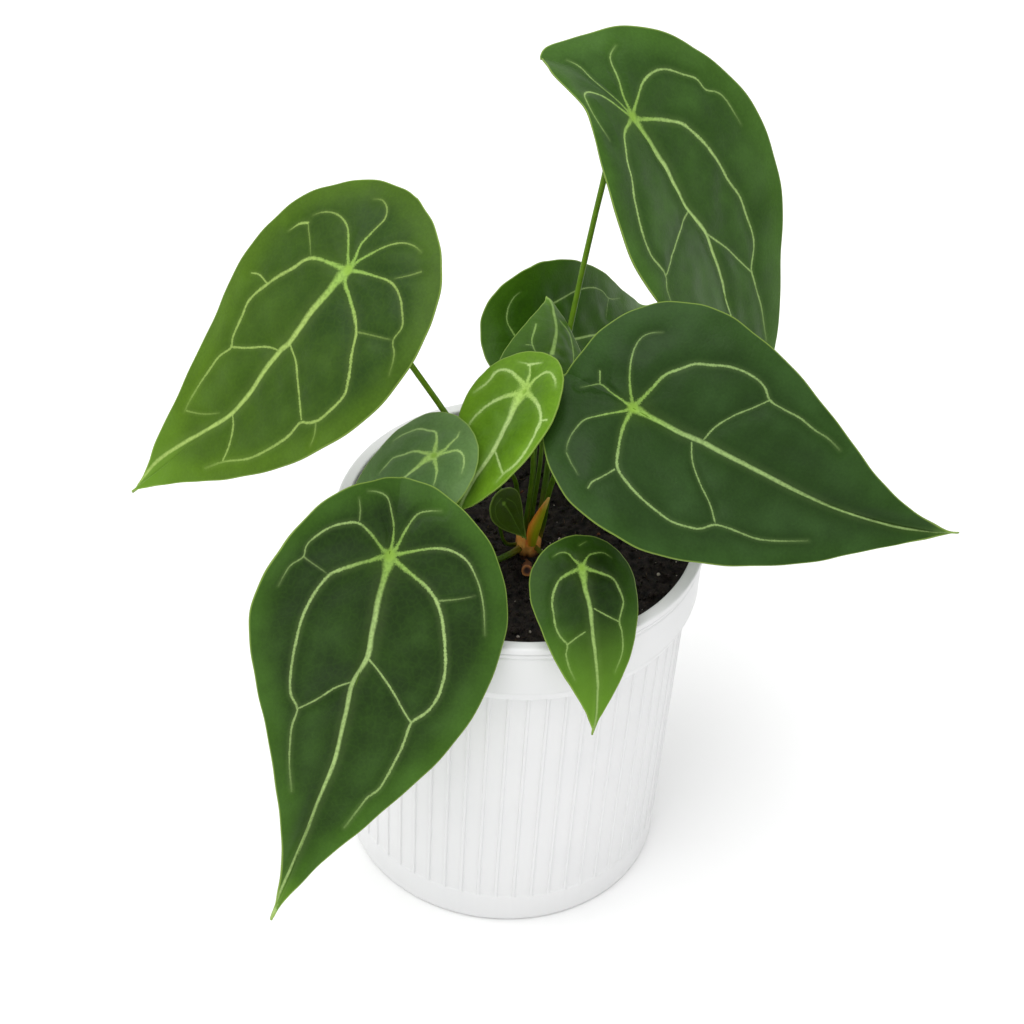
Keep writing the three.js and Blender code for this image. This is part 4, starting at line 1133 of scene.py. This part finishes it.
def blade_lift(leaf, flat, outward, turn, found):
    """How many millimetres the blade stands off its plain bend, for waves, swells, dents and grooves."""
    size, phase = leaf["front"] / FULL_FRONT, leaf["phase"]
    lift = leaf["wave"] * outward ** 4 * np.sin(leaf["waves"] * turn + phase)
    lift += RIPPLE_HEIGHT * size * outward ** 6 * np.sin(RIPPLE_COUNT * turn + 2 * phase)
    swell = np.sin(flat[:, 0] / (SWELL_LENGTH * size) + phase)
    swell *= np.cos(flat[:, 1] / (SWELL_WIDTH * size) + 3 * phase)
    lift += SWELL_HEIGHT * size * swell * (1 - outward ** 4)
    dents = np.array([noise.noise((x, y, 7 * phase)) for x, y in flat / (DENT_SPACING * size)])
    lift += DENT_HEIGHT * size * dents * (1 - outward ** 4)
    distance = np.min([layer[:, 3] for layer in found], axis=0)
    lift += QUILT_HEIGHT * size * (1 - np.exp(-(distance / QUILT_REACH / size) ** 2)) * (1 - outward ** 6)
    for layer in found:
        lift -= GROOVE_DEPTH * size * np.exp(-(layer[:, 2] / GROOVE_WIDTH) ** 2) * layer[:, 4]
    return lift


def grow_stalk(leaf):
    """A bmesh of the stalk, and of the midrib's ridge under the blade."""
    zero = np.zeros(1)
    end = blade_places(leaf, zero, zero, -STALK_END_DEPTH)[0] / MM
    approach = blade_places(leaf, zero, zero, -STALK_SQUARE_LENGTH * leaf["stalk"])[0] / MM
    bm = bmesh.new()
    along = bm.verts.layers.float.new("along")
    radii = [share * leaf["stalk"] for share in STALK_FLARE]
    grow_rod(bm, (*leaf["route"], approach, end), radii, sides=16, steps=80, along=along)
    shares = np.linspace(0, 1, 9)
    thin = np.interp(shares, (0, 1), MIDRIB_SHARES) * leaf["stalk"]
    ridge = blade_places(leaf, shares * MIDRIB_REACH * leaf["front"], 0 * shares, -RIB_SUNK - thin) / MM
    grow_rod(bm, ridge, list(thin), sides=12, steps=60)
    for place in bm.verts:
        place[along] = place[along] or 1
    bmesh.ops.recalc_face_normals(bm, faces=bm.faces)
    return bm


for leaf in LEAVES:
    name = leaf["name"]
    dark, light = screen(*leaf["dark"]), screen(*leaf["light"])
    painted_sheen_green = screen(*[(d + l) / 2 + more for d, l, more in zip(leaf["dark"], leaf["light"], PAINTED_SHEEN_PALER)])
    under = screen(*[channel + UNDERSIDE_PALER for channel in leaf["light"]])
    upper_skin = blade_material(name + "_upper", leaf, dark, light, painted_sheen_green, roughness=0.42, vein_share=1.0)
    under_skin = blade_material(name + "_under", leaf, under, under, under, roughness=0.55, vein_share=0.7)
    piece = new_piece(name + "_blade", flat_blade(leaf), upper_skin, name)
    mesh = piece.data
    mesh.materials.append(under_skin)
    flat = np.zeros(len(mesh.vertices) * 3, np.float32)
    mesh.vertices.foreach_get("co", flat)
    flat = flat.reshape(-1, 3)[:, :2].astype(float)
    outward, turn = blade_margin(leaf, *flat.T)
    from_petiole = np.maximum(np.hypot(*flat.T), 1e-6)
    inside = from_petiole * (1 / np.maximum(outward, 1e-3) - 1)
    side = np.where(flat[:, 1] > 0, 1, -1)
    share = np.clip((flat[:, 0] + leaf["back"]) / (leaf["front"] + leaf["back"]), 0, 1)
    inside = np.minimum(inside, half_width(leaf, share, side) - np.abs(flat[:, 1]))
    flat += flat / from_petiole[:, None] * uneven_edge(leaf, outward, turn)[:, None]
    grid_pixels = photo_pixels(blade_places(leaf, *flat.T))
    found = [nearest_veins(flat, layer) for layer in vein_lines(leaf, flat, grid_pixels)]
    places = blade_places(leaf, flat[:, 0], flat[:, 1], blade_lift(leaf, flat, outward, turn, found))
    mesh.vertices.foreach_set("co", places.astype(np.float32).ravel())
    name_values(mesh, "blade_place", np.column_stack((flat, inside)))
    for layer_name, layer in zip(VEIN_LAYERS, found):
        name_values(mesh, layer_name, layer[:, :3])
    name_values(mesh, "vein_show", np.column_stack([layer[:, 4] for layer in found]))
    mesh.update()
    thickness = piece.modifiers.new("thickness", "SOLIDIFY")
    thickness.thickness = BLADE_THICKNESS * (0.7 + 0.3 * leaf["stalk"]) * MM
    thickness.offset = 0
    thickness.use_even_offset = False
    thickness.material_offset = 1
    thickness.material_offset_rim = 0
    new_piece(name + "_stalk", grow_stalk(leaf), stalk_material, name)
